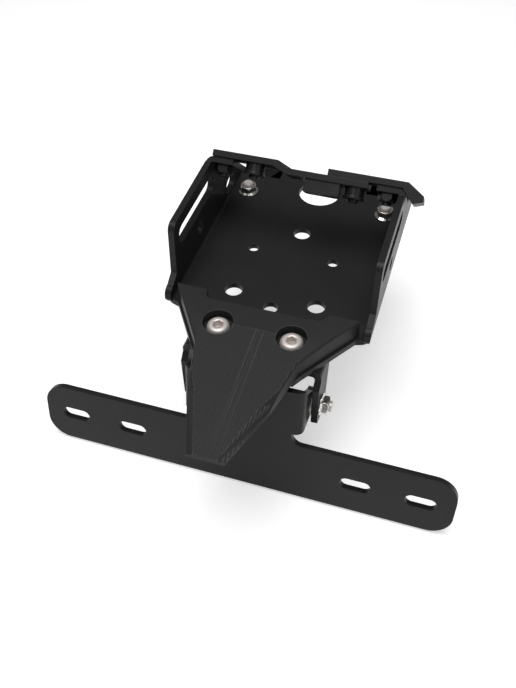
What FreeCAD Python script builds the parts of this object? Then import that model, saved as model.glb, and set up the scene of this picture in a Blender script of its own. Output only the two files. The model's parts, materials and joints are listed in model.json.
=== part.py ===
import FreeCAD, Part

import math
import os

import Sketcher

V = FreeCAD.Vector

# Frame of the part, in millimetres: +X to the right, +Y towards the motorcycle, +Z up.
# The tray floor's top face is the plane z = 0, and the origin lies midway between the two
# medium holes that bolt the tray to the motorcycle. The number plate hangs at the -Y end.

# Driving dimensions: alias, value, what it measures.
SIZES = [
    ("sheet", 3.0, "thickness of every folded sheet piece"),
    ("bend_in", 1.5, "inner radius of the sheet bends"),
    ("tray_half", 48.6, "half the tray's outside width"),
    ("flange_top", 35.0, "top edge of the side flanges above the floor"),
    ("flange_front", -4.2, "upright front edge of the side flanges"),
    ("flange_toe", -15.6, "foremost point of the side flanges"),
    ("toe_height", 9.0, "height of the toe under the upright front edge"),
    ("floor_rear", 89.3, "rear edge of the floor"),
    ("rear_tongue_half", 24.0, "half width of the floor's rear tongue"),
    ("rear_tongue", 99.3, "rear end of that tongue"),
    ("slope_deg", 43.0, "slope of the flanges' rear edges"),
    ("slope_y", 47.8, "upper end of the sloping rear edge"),
    ("slope_z", 38.2, "height of that upper end"),
    ("tab_run", 25.0, "length of a return tab along the slope"),
    ("tab_reach", 13.5, "width of a return tab"),
    ("slot_front", 0.8, "front end of the flange slot"),
    ("slot_rear", 46.8, "rear end of the flange slot"),
    ("slot_mid", 24.5, "height of the flange slot's middle"),
    ("slot_high", 9.0, "height of the flange slot"),
    ("side_hole_y", 25.8, "flange hole below the slot"),
    ("side_hole_z", 11.5, "height of that hole"),
    ("side_hole", 7.0, "diameter of that hole"),
    ("cable_hole_y", 70.8, "cable exit in the left flange"),
    ("cable_hole", 9.0, "height of the cable exit"),
    ("cable_slot", 14.0, "length of the cable exit"),
    ("tongue_tip", -46.7, "front edge of the floor's tongue"),
    ("tongue_margin", 1.3, "how far the tongue shows outside the wedge"),
    ("small_hole_x", 20.2, "small floor holes, distance from the middle"),
    ("small_hole_y", 31.3, "small floor holes, along the tray"),
    ("small_hole", 5.5, "diameter of the small floor holes"),
    ("mid_hole_x", 20.1, "medium floor holes, distance from the middle"),
    ("mid_hole_y", 0.0, "medium floor holes, along the tray"),
    ("mid_hole", 8.5, "diameter of the medium floor holes"),
    ("centre_hole_y", 48.3, "medium hole on the centre line"),
    ("front_hole_y", -6.6, "hole on the centre line, partly under the wedge"),
    ("front_hole", 7.0, "diameter of that hole"),
    ("wire_hole_y", 83.3, "large hole for the wiring"),
    ("wire_hole", 21.6, "diameter of the large hole"),
    ("wedge_high", 9.5, "thickness of the wedge behind its crease"),
    ("nose_high", 3.4, "thickness of the wedge at its tip"),
    ("crease_y", -29.7, "crease where the wedge's top starts to slope"),
    ("wedge_rear", -11.7, "rear ends of the two horns"),
    ("recess_y", -17.0, "rear edge of the wedge between the horns"),
    ("horn_in", 27.6, "inner wall of a horn"),
    ("horn_out", 43.4, "outer corner of a horn"),
    ("waist_half", 23.2, "half width where the side turns forward"),
    ("waist_y", -42.4, "place of that turn"),
    ("shoulder_half", 18.6, "half width halfway along the nose"),
    ("shoulder_y", -66.2, "place of that half width"),
    ("tip_half", 8.2, "half width of the tip"),
    ("tip_y", -96.7, "front end of the tip"),
    ("wedge_chamfer", 1.0, "chamfer along the wedge's top edge"),
    ("groove_pitch", 2.4, "spacing of the tool grooves in the nose"),
    ("groove_deep", 0.15, "depth of the tool grooves"),
    ("screw_x", 16.8, "wedge screws, distance from the middle"),
    ("screw_y", -30.2, "wedge screws, along the tray"),
    ("screw_thread", 6.0, "thread of the wedge screws"),
    ("screw_head", 10.5, "head diameter of the wedge screws"),
    ("screw_head_high", 3.3, "head height of the wedge screws"),
    ("screw_key", 4.0, "hexagon socket of the wedge screws"),
    ("screw_sink", 1.6, "how far the head lies below the wedge's top"),
    ("counterbore", 13.8, "counterbore round the wedge screws"),
    ("slack", 0.4, "clearance on the diameter of a bolt hole"),
    ("thread_gap", 0.05, "clearance between a thread and its nut"),
    ("nut_flat", 10.0, "width across flats of the wedge nuts"),
    ("nut_high", 6.0, "height of the wedge nuts"),
    ("washer_out", 12.0, "outer diameter of the wedge washers"),
    ("washer_thick", 1.6, "thickness of the wedge washers"),
    ("thread_proud", 1.5, "thread that shows past a nut"),
    ("pivot_y", -34.0, "hinge axis along the tray"),
    ("pivot_z", -26.5, "hinge axis below the floor"),
    ("pivot_thread", 5.0, "thread of the hinge and rear bolts"),
    ("pivot_fit", 0.1, "running clearance on the diameter at the hinge"),
    ("pivot_head", 9.5, "head diameter of the hinge and rear bolts"),
    ("pivot_head_high", 2.75, "head height of the hinge and rear bolts"),
    ("pivot_key", 3.0, "hexagon socket of the hinge and rear bolts"),
    ("pivot_gap", 0.05, "running gap beside the swinging ears"),
    ("flange_nut_out", 10.6, "flange diameter of the flange nuts"),
    ("flange_nut_flat", 8.0, "width across flats of the flange nuts"),
    ("flange_nut_high", 4.2, "height of the flange nuts"),
    ("flange_nut_rim", 1.0, "rim thickness of the flange nuts"),
    ("ear_in", 29.3, "inner face of the hinge bracket's ears"),
    ("ear_front", -40.0, "front edge of the ears"),
    ("ear_rear", -20.5, "rear edge of the ears at the top"),
    ("ear_round", 9.3, "radius round the hinge at the ears' lower end"),
    ("web_front", -36.5, "front edge of the hinge bracket's web"),
    ("web_rear", -16.5, "rear edge of the hinge bracket's web"),
    ("spacer_thick", 1.0, "friction washer between the ears"),
    ("spacer_out", 12.0, "outer diameter of the friction washer"),
    ("plate_tilt", 11.3, "lean of the plate bracket at rest"),
    ("plate_set", 16.7, "plate face in front of the hinge axis"),
    ("slot_drop", 28.9, "plate slots below the hinge axis"),
    ("bar_half", 100.5, "half the length of the plate bar"),
    ("bar_up", 15.6, "plate bar above its slots"),
    ("bar_down", 16.3, "plate bar below its slots"),
    ("bar_corner", 11.0, "corner radius of the plate bar"),
    ("stem_half", 23.6, "half width of the stem"),
    ("stem_fillet", 5.0, "radius where the stem meets the bar"),
    ("stem_top", 46.0, "upper edge of the stem above the slots"),
    ("swing_low", 21.9, "lower edge of the stem's ears above the slots"),
    ("swing_round", 7.0, "radius of the stem's ears round the hinge"),
    ("plate_slot_in", 55.0, "inner plate slots, distance from the middle"),
    ("plate_slot_out", 85.0, "outer plate slots, distance from the middle"),
    ("plate_slot_wide", 6.6, "width of a plate slot"),
    ("plate_slot_long", 14.4, "length of a plate slot"),
    ("strap_gap", 0.0, "rear straps above the tabs"),
    ("strap_left_end", -45.4, "outer end of the left strap"),
    ("joggle_start", -14.0, "start of the left strap's joggle"),
    ("joggle_end", -6.8, "end of the joggle"),
    ("lap_end", 31.0, "hidden end of the left strap's lower run"),
    ("strap_right_start", 11.4, "inner end of the right strap"),
    ("wing_bend", 46.2, "bend where the right strap turns down"),
    ("wing_reach", 10.3, "how far the wing goes outwards"),
    ("wing_drop", 11.0, "how far the wing goes down"),
    ("strap_lead", -1.0, "straps start this far along the slope"),
    ("strap_run", 13.0, "length of the straps along the slope"),
    ("boss_x", 24.7, "bosses, distance from the middle"),
    ("boss_out", 9.4, "diameter of the bosses"),
    ("boss_long", 5.5, "length of the bosses"),
    ("boss_rim", 10.4, "diameter of the bosses' rims"),
    ("boss_rim_thick", 1.2, "thickness of the bosses' rims"),
    ("boss_run", 5.0, "boss centres along the slope"),
    ("tab_bolt_run", 6.0, "tab bolts along the slope"),
    ("tab_bolt_x", 40.2, "tab screws, distance from the middle"),
    ("flush_head", 9.0, "head diameter of the flush screws"),
    ("flush_gap", 0.1, "clearance round a flush head"),
    ("tab_nut_flat", 8.0, "width across flats of the tab nuts"),
    ("tab_nut_high", 4.0, "height of the tab nuts"),
    ("block_left", 1.2, "left end of the block under the straps"),
    ("block_right", 18, "right end of that block"),
    ("block_high", 6.2, "height of that block"),
    ("block_run", 10.0, "length of that block along the slope"),
    ("floor_bolt_x", 37.0, "floor bolts, distance from the middle"),
    ("floor_bolt_y", 74.3, "floor bolts along the tray"),
]

doc = FreeCAD.newDocument("tail_tidy")
sheet = doc.addObject("Spreadsheet::Sheet", "sizes")
for row, (alias, value, note) in enumerate(SIZES, start=1):
    sheet.set("A%d" % row, alias)
    sheet.set("B%d" % row, str(value))
    sheet.set("C%d" % row, note)
    sheet.setAlias("B%d" % row, alias)
doc.recompute()


class Values:
    """The spreadsheet's values by alias, for the shapes that are worked out below."""

    def __getattr__(self, alias):
        return float(sheet.get(alias))


size = Values()
pieces = []


def keep(obj, label):
    """Give a finished piece the name of its node and list it for export."""
    obj.Label = label
    pieces.append(obj)
    return obj


def origin_plane(body, role):
    """Return one of a body's own origin planes."""
    for feature in body.Origin.OriginFeatures:
        if feature.Role == role:
            return feature
    raise ValueError(role)


def new_body(label):
    """Return a PartDesign body that becomes one node."""
    return keep(doc.addObject("PartDesign::Body", label + "_body"), label)


def new_sketch(body, name, role, offset=None):
    """Return an empty sketch on one of the body's origin planes."""
    sketch = body.newObject("Sketcher::SketchObject", name)
    sketch.AttachmentSupport = (origin_plane(body, role), [""])
    sketch.MapMode = "FlatFace"
    if offset is not None:
        sketch.AttachmentOffset = offset
    return sketch


def draw(sketch, points):
    """Draw a closed outline. A point is (u, v), or (u, v, mid_u, mid_v) for an arc to it."""
    lines = []
    ends = []
    for i, point in enumerate(points):
        before = points[i - 1]
        start = V(before[0], before[1], 0)
        end = V(point[0], point[1], 0)
        if len(point) == 4:
            middle = V(point[2], point[3], 0)
            lines.append(Part.Arc(start, middle, end))
            clockwise = (middle - start).cross(end - start).z < 0
            ends.append((2, 1) if clockwise else (1, 2))
        else:
            lines.append(Part.LineSegment(start, end))
            ends.append((1, 2))
    first = sketch.GeometryCount
    sketch.addGeometry(lines, False)
    joined = []
    for i in range(len(points)):
        after = (i + 1) % len(points)
        joined.append(Sketcher.Constraint(
            "Coincident", first + i, ends[i][1], first + after, ends[after][0]))
    sketch.addConstraint(joined)


def circle(sketch, u, v, alias, factor="/ 2"):
    """Draw a circle whose radius is half of a named diameter."""
    radius = getattr(size, alias) / 2
    index = sketch.addGeometry(Part.Circle(V(u, v, 0), V(0, 0, 1), radius), False)
    constraint = sketch.addConstraint(Sketcher.Constraint("Radius", index, radius))
    sketch.setExpression("Constraints[%d]" % constraint, "sizes.%s %s" % (alias, factor))


def obround(u, v, length, width):
    """Return the outline of a slot along u, round at both ends."""
    r = width / 2
    a = length / 2 - r
    return [(u - a, v - r, u - a - r, v), (u + a, v - r), (u + a, v + r, u + a + r, v),
            (u - a, v + r)]


def pad(body, sketch, name, expression, reverse=False):
    """Pad a sketch by a length bound to the spreadsheet."""
    feature = body.newObject("PartDesign::Pad", name)
    feature.Profile = sketch
    feature.Reversed = reverse
    feature.setExpression("Length", expression)
    doc.recompute()
    return feature


def pocket(body, sketch, name, both_ways=True, expression=None, reverse=False):
    """Cut a sketch through the whole body, or as deep as the expression says."""
    feature = body.newObject("PartDesign::Pocket", name)
    feature.Profile = sketch
    feature.Reversed = reverse
    if expression is None:
        feature.Type = 1
        feature.Midplane = both_ways
    else:
        feature.setExpression("Length", expression)
    doc.recompute()
    return feature


def mirror(body, features, name):
    """Mirror features across the object's middle plane."""
    sketch = features[0].Profile[0]
    feature = body.newObject("PartDesign::Mirrored", name)
    feature.Originals = features
    feature.MirrorPlane = (origin_plane(body, "YZ_Plane"), [""])
    body.Tip = feature
    doc.recompute()
    sketch.Visibility = False
    return feature


def fillet_edges(body, name, radius, wanted):
    """Round the edges of the body's tip that the test picks."""
    tip = body.Tip
    names = []
    for i, edge in enumerate(tip.Shape.Edges, start=1):
        if wanted(edge):
            names.append("Edge%d" % i)
    feature = body.newObject("PartDesign::Fillet", name)
    feature.Base = (tip, names)
    feature.setExpression("Radius", radius)
    doc.recompute()
    return feature


# The slope frame lies on the flanges' sloping rear edges.
# run goes down the slope, and rise stands off it.
SLOPE = math.radians(size.slope_deg)
RUN = V(0, math.cos(SLOPE), -math.sin(SLOPE))
RISE = V(0, math.sin(SLOPE), math.cos(SLOPE))
SLOPE_TOP = V(0, size.slope_y, size.slope_z)


def on_slope(x, run, rise):
    """Return a point given by its place on the sloping rear plane."""
    return SLOPE_TOP + V(x, 0, 0) + RUN * run + RISE * rise


def slope_yz(run, rise):
    """Return the (y, z) of a place on the sloping rear plane."""
    p = on_slope(0, run, rise)
    return (p.y, p.z)


# Wedge outline, shared by the wedge and by the tongue of the floor under it.
def side_at(y, margin=0.0):
    """Return the half width of the wedge's slanted side at a place behind its waist."""
    span = size.wedge_rear - size.waist_y
    share = (y - size.waist_y) / span
    return size.waist_half + (size.horn_out - size.waist_half) * share + margin


def round_tabs(body):
    """Round the outside of the return tabs' bends."""
    outer = size.bend_in + size.sheet
    beside = size.tray_half - outer
    bow = outer * math.sqrt(0.5)
    place = FreeCAD.Placement(V(0, size.slope_z, -size.slope_y),
                              FreeCAD.Rotation(V(1, 0, 0), -size.slope_deg))
    sketch = new_sketch(body, "tray_tab_bend", "XZ_Plane", place)
    for sign in (-1, 1):
        draw(sketch, [(sign * beside, 1), (sign * beside, 0),
                      (sign * size.tray_half, -outer, sign * (beside + bow), bow - outer),
                      (sign * (size.tray_half + 1), -outer), (sign * (size.tray_half + 1), 1)])
    pocket(body, sketch, "tray_tab_bend_cut", expression="sizes.tab_run")


def make_tray():
    """Folded tray: floor with a tongue, two side flanges and their return tabs."""
    body = new_body("tray")
    half = size.tray_half
    margin = size.tongue_margin
    toe = size.flange_toe
    shoulder = size.waist_half + margin
    tip_half = shoulder - 2.5

    floor = new_sketch(body, "tray_floor", "XY_Plane")
    draw(floor, [
        (-half, toe + 2), (-side_at(toe, margin), toe), (-shoulder, size.waist_y),
        (-tip_half, size.tongue_tip), (tip_half, size.tongue_tip), (shoulder, size.waist_y),
        (side_at(toe, margin), toe), (half, toe + 2), (half, size.floor_rear),
        (size.rear_tongue_half, size.rear_tongue), (-size.rear_tongue_half, size.rear_tongue),
        (-half, size.floor_rear)])
    pad(body, floor, "tray_floor_pad", "sizes.sheet", reverse=True)

    low = -size.sheet
    front = size.flange_front
    top = size.flange_top
    mid_toe = size.toe_height
    flange = new_sketch(body, "tray_flange", "YZ_Plane",
                        FreeCAD.Placement(V(0, 0, -half), FreeCAD.Rotation()))
    corner = 4.0
    nose = 4.0
    relief = size.tab_run + size.bend_in
    slope_foot = size.slope_z - (size.floor_rear - size.slope_y) * math.tan(SLOPE)
    draw(flange, [
        (toe + nose, low, toe + 0.9, low + 1.6), (size.floor_rear, low),
        (size.floor_rear, slope_foot), slope_yz(relief, 0), slope_yz(relief, -size.sheet),
        slope_yz(size.tab_run, -size.sheet), slope_yz(size.tab_run, 0), slope_yz(0, 0),
        slope_yz(0, -size.sheet), (front + corner, top),
        (front, top - corner, front + corner * 0.293, top - corner * 0.293),
        (front - 2.0, mid_toe), (toe + nose, mid_toe - 3.2),
        (toe, mid_toe - 6.4, toe + 1.0, mid_toe - 4.4)])
    side = pad(body, flange, "tray_flange_pad", "sizes.sheet")

    tab = new_sketch(body, "tray_tab", "YZ_Plane",
                     FreeCAD.Placement(V(0, 0, -half), FreeCAD.Rotation()))
    draw(tab, [slope_yz(0, -size.sheet), slope_yz(size.tab_run, -size.sheet),
               slope_yz(size.tab_run, 0), slope_yz(0, 0)])
    fold = pad(body, tab, "tray_tab_pad", "sizes.tab_reach")
    mirror(body, [side, fold], "tray_right_side")

    def lower_outer(edge):
        box = edge.BoundBox
        return (box.YLength > 60 and box.ZLength < 0.01 and abs(box.ZMin - low) < 0.01
                and abs(abs(box.XMin) - half) < 0.01 and box.XLength < 0.01)

    def lower_inner(edge):
        box = edge.BoundBox
        return (box.YLength > 60 and box.ZLength < 0.01 and abs(box.ZMin) < 0.01
                and abs(abs(box.XMin) - half + size.sheet) < 0.01 and box.XLength < 0.01)

    fillet_edges(body, "tray_bend_out", "sizes.bend_in + sizes.sheet * 0.9", lower_outer)
    fillet_edges(body, "tray_bend_in", "sizes.bend_in", lower_inner)
    round_tabs(body)

    holes = new_sketch(body, "tray_floor_holes", "XY_Plane")
    for side_sign in (-1, 1):
        circle(holes, side_sign * size.small_hole_x, size.small_hole_y, "small_hole")
        circle(holes, side_sign * size.mid_hole_x, size.mid_hole_y, "mid_hole")
        circle(holes, side_sign * size.screw_x, size.screw_y, "screw_thread", "/ 2 + sizes.slack / 2")
        circle(holes, side_sign * size.floor_bolt_x, size.floor_bolt_y, "pivot_thread",
               "/ 2 + sizes.slack / 2")
    circle(holes, 0, size.centre_hole_y, "mid_hole")
    circle(holes, 0, size.front_hole_y, "front_hole")
    circle(holes, 0, size.wire_hole_y, "wire_hole")
    pocket(body, holes, "tray_floor_cut")

    cuts = new_sketch(body, "tray_side_cuts", "YZ_Plane")
    slot_mid_y = (size.slot_front + size.slot_rear) / 2
    draw(cuts, obround(slot_mid_y, size.slot_mid, size.slot_rear - size.slot_front,
                       size.slot_high))
    circle(cuts, size.side_hole_y, size.side_hole_z, "side_hole")
    pocket(body, cuts, "tray_side_cut")

    cable = new_sketch(body, "tray_cable_exit", "YZ_Plane")
    draw(cable, obround(size.cable_hole_y, size.cable_hole / 2 + size.bend_in,
                        size.cable_slot, size.cable_hole))
    pocket(body, cable, "tray_cable_cut", both_ways=False)
    return body


def make_wedge():
    """Machined nose wedge: two horns, counterbores, a sloping nose with tool grooves."""
    body = new_body("nose_wedge")
    recess_fillet = 3.0
    corner = 2.0
    horn = size.horn_out
    rear = size.wedge_rear
    lower = rear - corner
    blank = new_sketch(body, "wedge_outline", "XY_Plane")
    half = [
        (size.tip_half, size.tip_y), 
        (size.waist_half, size.waist_y, size.shoulder_half, size.shoulder_y),
        (side_at(lower), lower), (horn - corner * 0.3, rear - corner * 0.3),
        (horn - corner, rear), (size.horn_in + 1.5, rear), (size.horn_in, rear - 1.5),
        (size.horn_in, size.recess_y + recess_fillet),
        (size.horn_in - recess_fillet, size.recess_y,
         size.horn_in - recess_fillet * 0.293, size.recess_y + recess_fillet * 0.293)]
    left = [(-size.horn_in + recess_fillet, size.recess_y),
            (-size.horn_in, size.recess_y + recess_fillet,
             -size.horn_in + recess_fillet * 0.293, size.recess_y + recess_fillet * 0.293),
            (-size.horn_in, rear - 1.5), (-size.horn_in - 1.5, rear), (-horn + corner, rear),
            (-horn + corner * 0.3, rear - corner * 0.3), (-side_at(lower), lower),
            (-size.waist_half, size.waist_y),
            (-size.tip_half, size.tip_y, -size.shoulder_half, size.shoulder_y)]
    draw(blank, half + left)
    pad(body, blank, "wedge_blank", "sizes.wedge_high")
    tip = body.Tip
    names = ["Edge%d" % i for i, edge in enumerate(tip.Shape.Edges, start=1)
             if edge.BoundBox.ZMin > size.wedge_high - 0.01]
    rim = body.newObject("PartDesign::Chamfer", "wedge_rim")
    rim.Base = (tip, names)
    rim.setExpression("Size", "sizes.wedge_chamfer")
    doc.recompute()

    fall = math.degrees(math.atan2(size.wedge_high - size.nose_high, size.crease_y - size.tip_y))
    offset = FreeCAD.Placement(V(0, size.wedge_high, -size.crease_y),
                               FreeCAD.Rotation(V(1, 0, 0), fall))
    nose = new_sketch(body, "wedge_nose", "XZ_Plane", offset)
    count = int(size.horn_out / size.groove_pitch)
    land = size.groove_pitch * 0.62
    points = [(-size.horn_out, 2 * size.wedge_high)]
    for i in range(-count, count + 1):
        u = i * size.groove_pitch
        points.append((u - land / 2, 0))
        points.append((u + land / 2, 0))
        points.append((u + size.groove_pitch / 2, -size.groove_deep))
    points.append((points[-1][0] + 1.0, 2 * size.wedge_high))
    draw(nose, points)
    pocket(body, nose, "wedge_nose_cut", both_ways=False)

    bores = new_sketch(body, "wedge_counterbores", "XY_Plane",
                       FreeCAD.Placement(V(0, 0, size.wedge_high + 1), FreeCAD.Rotation()))
    holes = new_sketch(body, "wedge_holes", "XY_Plane")
    for side_sign in (-1, 1):
        circle(bores, side_sign * size.screw_x, size.screw_y, "counterbore")
        circle(holes, side_sign * size.screw_x, size.screw_y, "screw_thread", "/ 2 + sizes.slack / 2")
    pocket(body, bores, "wedge_counterbore_cut",
           expression="1 + sizes.screw_sink + sizes.screw_head_high")
    pocket(body, holes, "wedge_hole_cut")
    return body


def make_hinge_bracket():
    """Folded U under the tongue: a web with two ears that carry the hinge bolts."""
    body = new_body("hinge_bracket")
    under = -size.sheet
    out = size.ear_in + size.sheet
    web = new_sketch(body, "hinge_web", "XY_Plane",
                     FreeCAD.Placement(V(0, 0, under), FreeCAD.Rotation()))
    front = size.ear_front
    strip = size.ear_in - size.bend_in - 1.0
    back = strip - (size.web_rear - size.ear_rear)
    draw(web, [(-out, size.web_front), (out, size.web_front), (out, size.ear_rear),
               (strip, size.ear_rear), (back, size.web_rear), (-back, size.web_rear),
               (-strip, size.ear_rear), (-out, size.ear_rear)])
    pad(body, web, "hinge_web_pad", "sizes.sheet", reverse=True)

    r = size.ear_round
    y, z = size.pivot_y, size.pivot_z
    ear = new_sketch(body, "hinge_ear", "YZ_Plane",
                     FreeCAD.Placement(V(0, 0, -out), FreeCAD.Rotation()))
    knee = under - size.sheet - size.bend_in - 0.5
    lean = math.radians(20)
    rear_low = (y + r * math.cos(lean), z - r * math.sin(lean))
    front_low = (front, z - math.sqrt(r * r - (y - front) * (y - front)))
    draw(ear, [(front, knee + front - size.web_front), (size.web_front, knee),
               (size.web_front, under), (size.ear_rear, under), (size.ear_rear, knee), rear_low,
               (front_low[0], front_low[1], y, z - r)])
    side = pad(body, ear, "hinge_ear_pad", "sizes.sheet")
    mirror(body, [side], "hinge_right_ear")

    def bend_out(edge):
        box = edge.BoundBox
        return (box.YLength > 8 and box.XLength < 0.01 and box.ZLength < 0.01
                and abs(abs(box.XMin) - out) < 0.01 and abs(box.ZMin - under) < 0.01)

    def bend_in(edge):
        box = edge.BoundBox
        return (box.YLength > 8 and box.XLength < 0.01 and box.ZLength < 0.01
                and abs(abs(box.XMin) - size.ear_in) < 0.01
                and abs(box.ZMin - under + size.sheet) < 0.01)

    fillet_edges(body, "hinge_bend_in", "sizes.bend_in", bend_in)
    fillet_edges(body, "hinge_bend_out", "sizes.bend_in + sizes.sheet * 0.6", bend_out)

    holes = new_sketch(body, "hinge_screw_holes", "XY_Plane")
    for side_sign in (-1, 1):
        circle(holes, side_sign * size.screw_x, size.screw_y, "screw_thread", "/ 2 + sizes.slack / 2")
    pocket(body, holes, "hinge_screw_cut")
    axle = new_sketch(body, "hinge_axle_holes", "YZ_Plane")
    circle(axle, y, z, "pivot_thread", "/ 2 + sizes.pivot_fit / 2")
    pocket(body, axle, "hinge_axle_cut")
    tip = body.Tip
    names = []
    for i, edge in enumerate(tip.Shape.Edges, start=1):
        box = edge.BoundBox
        if edge.Closed and box.XLength < 0.01 and abs(box.XMin + out) < 0.01:
            names.append("Edge%d" % i)
    sink = body.newObject("PartDesign::Chamfer", "hinge_left_sink")
    sink.Base = (tip, names)
    sink.setExpression("Size", "(sizes.flush_head - sizes.pivot_thread - sizes.pivot_fit) / 2"
                               " + sizes.flush_gap")
    doc.recompute()
    return body


def make_plate_bracket():
    """Folded T bracket: slotted bar for the plate, stem, and two ears round the hinge."""
    body = new_body("plate_bracket")
    face = -size.plate_set
    mid = -size.slot_drop
    up = mid + size.bar_up
    down = mid - size.bar_down
    top = mid + size.stem_top
    end = size.bar_half
    r = size.bar_corner
    k = r * 0.293
    stem = size.stem_half
    f = size.stem_fillet
    swing = size.ear_in - size.spacer_thick - size.pivot_gap
    lug_low = mid + size.swing_low
    front = FreeCAD.Placement(V(0, 0, -face), FreeCAD.Rotation())
    profile = new_sketch(body, "plate_profile", "XZ_Plane", front)
    right = [(end - r, down), (end, down + r, end - k, down + k), (end, up - r),
             (end - r, up, end - k, up - k), (stem + f, up),
             (stem, up + f, stem + f * 0.293, up + f * 0.293), (stem, lug_low),
             (swing, lug_low), (swing, top)]
    left = []
    for i, point in enumerate(reversed(right)):
        left.append((-point[0], point[1]))
    arcs = {1: (end - k, down + k), 3: (end - k, up - k), 5: (stem + f * 0.293, up + f * 0.293)}
    mirrored = list(left)
    for index, (u, v) in arcs.items():
        place = len(right) - index
        mirrored[place] = (mirrored[place][0], mirrored[place][1], -u, v)
    draw(profile, right + mirrored)
    pad(body, profile, "plate_profile_pad", "sizes.sheet", reverse=True)

    lug = new_sketch(body, "plate_lug", "YZ_Plane",
                     FreeCAD.Placement(V(0, 0, -swing), FreeCAD.Rotation()))
    lr = size.swing_round
    draw(lug, [(face, lug_low), (0, -lr), (0, lr, lr, 0), (face, top)])
    side = pad(body, lug, "plate_lug_pad", "sizes.sheet")
    mirror(body, [side], "plate_right_lug")

    def bend_out(edge):
        box = edge.BoundBox
        return (box.ZLength > 8 and box.XLength < 0.01 and box.YLength < 0.01
                and abs(abs(box.XMin) - swing) < 0.01 and abs(box.YMin - face) < 0.01)

    def bend_in(edge):
        box = edge.BoundBox
        return (box.ZLength > 8 and box.XLength < 0.01 and box.YLength < 0.01
                and abs(abs(box.XMin) - swing + size.sheet) < 0.01
                and abs(box.YMin - face - size.sheet) < 0.01)

    fillet_edges(body, "plate_bend_out", "sizes.bend_in + sizes.sheet * 0.9", bend_out)
    fillet_edges(body, "plate_bend_in", "sizes.bend_in", bend_in)

    slots = new_sketch(body, "plate_slots", "XZ_Plane")
    for x in (-size.plate_slot_out, -size.plate_slot_in, size.plate_slot_in, size.plate_slot_out):
        draw(slots, obround(x, mid, size.plate_slot_long, size.plate_slot_wide))
    pocket(body, slots, "plate_slot_cut")
    axle = new_sketch(body, "plate_axle_holes", "YZ_Plane")
    circle(axle, 0, 0, "pivot_thread", "/ 2 + sizes.pivot_fit / 2")
    pocket(body, axle, "plate_axle_cut")
    body.Placement = FreeCAD.Placement(V(0, size.pivot_y, size.pivot_z),
                                       FreeCAD.Rotation(V(1, 0, 0), -size.plate_tilt))
    return body


SLOPE_PLACE = FreeCAD.Placement(SLOPE_TOP, FreeCAD.Rotation(V(1, 0, 0), -size.slope_deg))


def strap_sketch(body, name):
    """Return a sketch of a strap's section, at the upper end of the slope."""
    return new_sketch(body, name, "XZ_Plane",
                      FreeCAD.Placement(V(0, 0, -size.strap_lead), FreeCAD.Rotation()))


def strap_holes(body, name, places, tops):
    """Drill a strap at each x and run, with countersinks where the tops' rise is given."""
    sketch = new_sketch(body, name, "XY_Plane")
    for x, run in places:
        circle(sketch, x, run, "pivot_thread", "/ 2 + sizes.slack / 2")
    pocket(body, sketch, name + "_cut")
    bore = (size.pivot_thread + size.slack) / 2
    tip = body.Tip
    names = []
    for i, edge in enumerate(tip.Shape.Edges, start=1):
        box = edge.BoundBox
        round_edge = edge.Closed and abs(box.XLength - 2 * bore) < 0.01
        if round_edge and any(abs(box.Center.x - place[0]) < 0.01 and abs(box.ZMin - top) < 0.01
                              for place, top in zip(places, tops) if top is not None):
            names.append("Edge%d" % i)
    sink = body.newObject("PartDesign::Chamfer", name + "_sink")
    sink.Base = (tip, names)
    sink.setExpression("Size", "(sizes.flush_head - sizes.pivot_thread - sizes.slack) / 2"
                               " + sizes.flush_gap")
    doc.recompute()


def make_left_strap():
    """Rear strap on the left tab, joggled down by its thickness to pass under the right."""
    body = new_body("rear_strap_left")
    t = size.sheet
    g = size.strap_gap
    section = strap_sketch(body, "left_strap_section")
    a, b = size.joggle_start, size.joggle_end
    lean = t * 0.35
    draw(section, [(size.strap_left_end, g), (a - lean, g), (b - lean, g - t),
                   (size.lap_end, g - t), (size.lap_end, g), (b + lean, g), (a + lean, g + t),
                   (size.strap_left_end, g + t)])
    pad(body, section, "left_strap_pad", "sizes.strap_run", reverse=True)
    strap_holes(body, "left_strap_holes",
                [(-size.tab_bolt_x, size.tab_bolt_run), (-size.boss_x, size.boss_run),
                 (size.boss_x, size.boss_run), (block_x(), size.boss_run)],
                [g + t, g + t, None, g])
    body.Placement = SLOPE_PLACE
    return body


def block_x():
    """Return the middle of the block under the straps."""
    return (size.block_left + size.block_right) / 2


def make_right_strap():
    """Rear strap on the right tab, turned down outside the flange as a wing."""
    body = new_body("rear_strap_right")
    t = size.sheet
    g = size.strap_gap
    bend = size.wing_bend
    knee = (bend + 4.6, g - 2.2)
    tip = (bend + size.wing_reach, g - size.wing_drop)
    first = math.atan2(g - knee[1], knee[0] - bend)
    second = math.atan2(knee[1] - tip[1], tip[0] - knee[0])
    middle = (first + second) / 2
    at_knee = t / math.cos((second - first) / 2)
    at_bend = t / math.cos(first / 2)
    section = strap_sketch(body, "right_strap_section")
    draw(section, [
        (size.strap_right_start, g), (bend, g), knee, tip,
        (tip[0] + t * math.sin(second), tip[1] + t * math.cos(second)),
        (knee[0] + at_knee * math.sin(middle), knee[1] + at_knee * math.cos(middle)),
        (bend + at_bend * math.sin(first / 2), g + t),
        (size.strap_right_start, g + t)])
    pad(body, section, "right_strap_pad", "sizes.strap_run", reverse=True)
    strap_holes(body, "right_strap_holes",
                [(size.tab_bolt_x, size.tab_bolt_run), (size.boss_x, size.boss_run)],
                [g + t, g + t])
    body.Placement = SLOPE_PLACE
    return body


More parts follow.
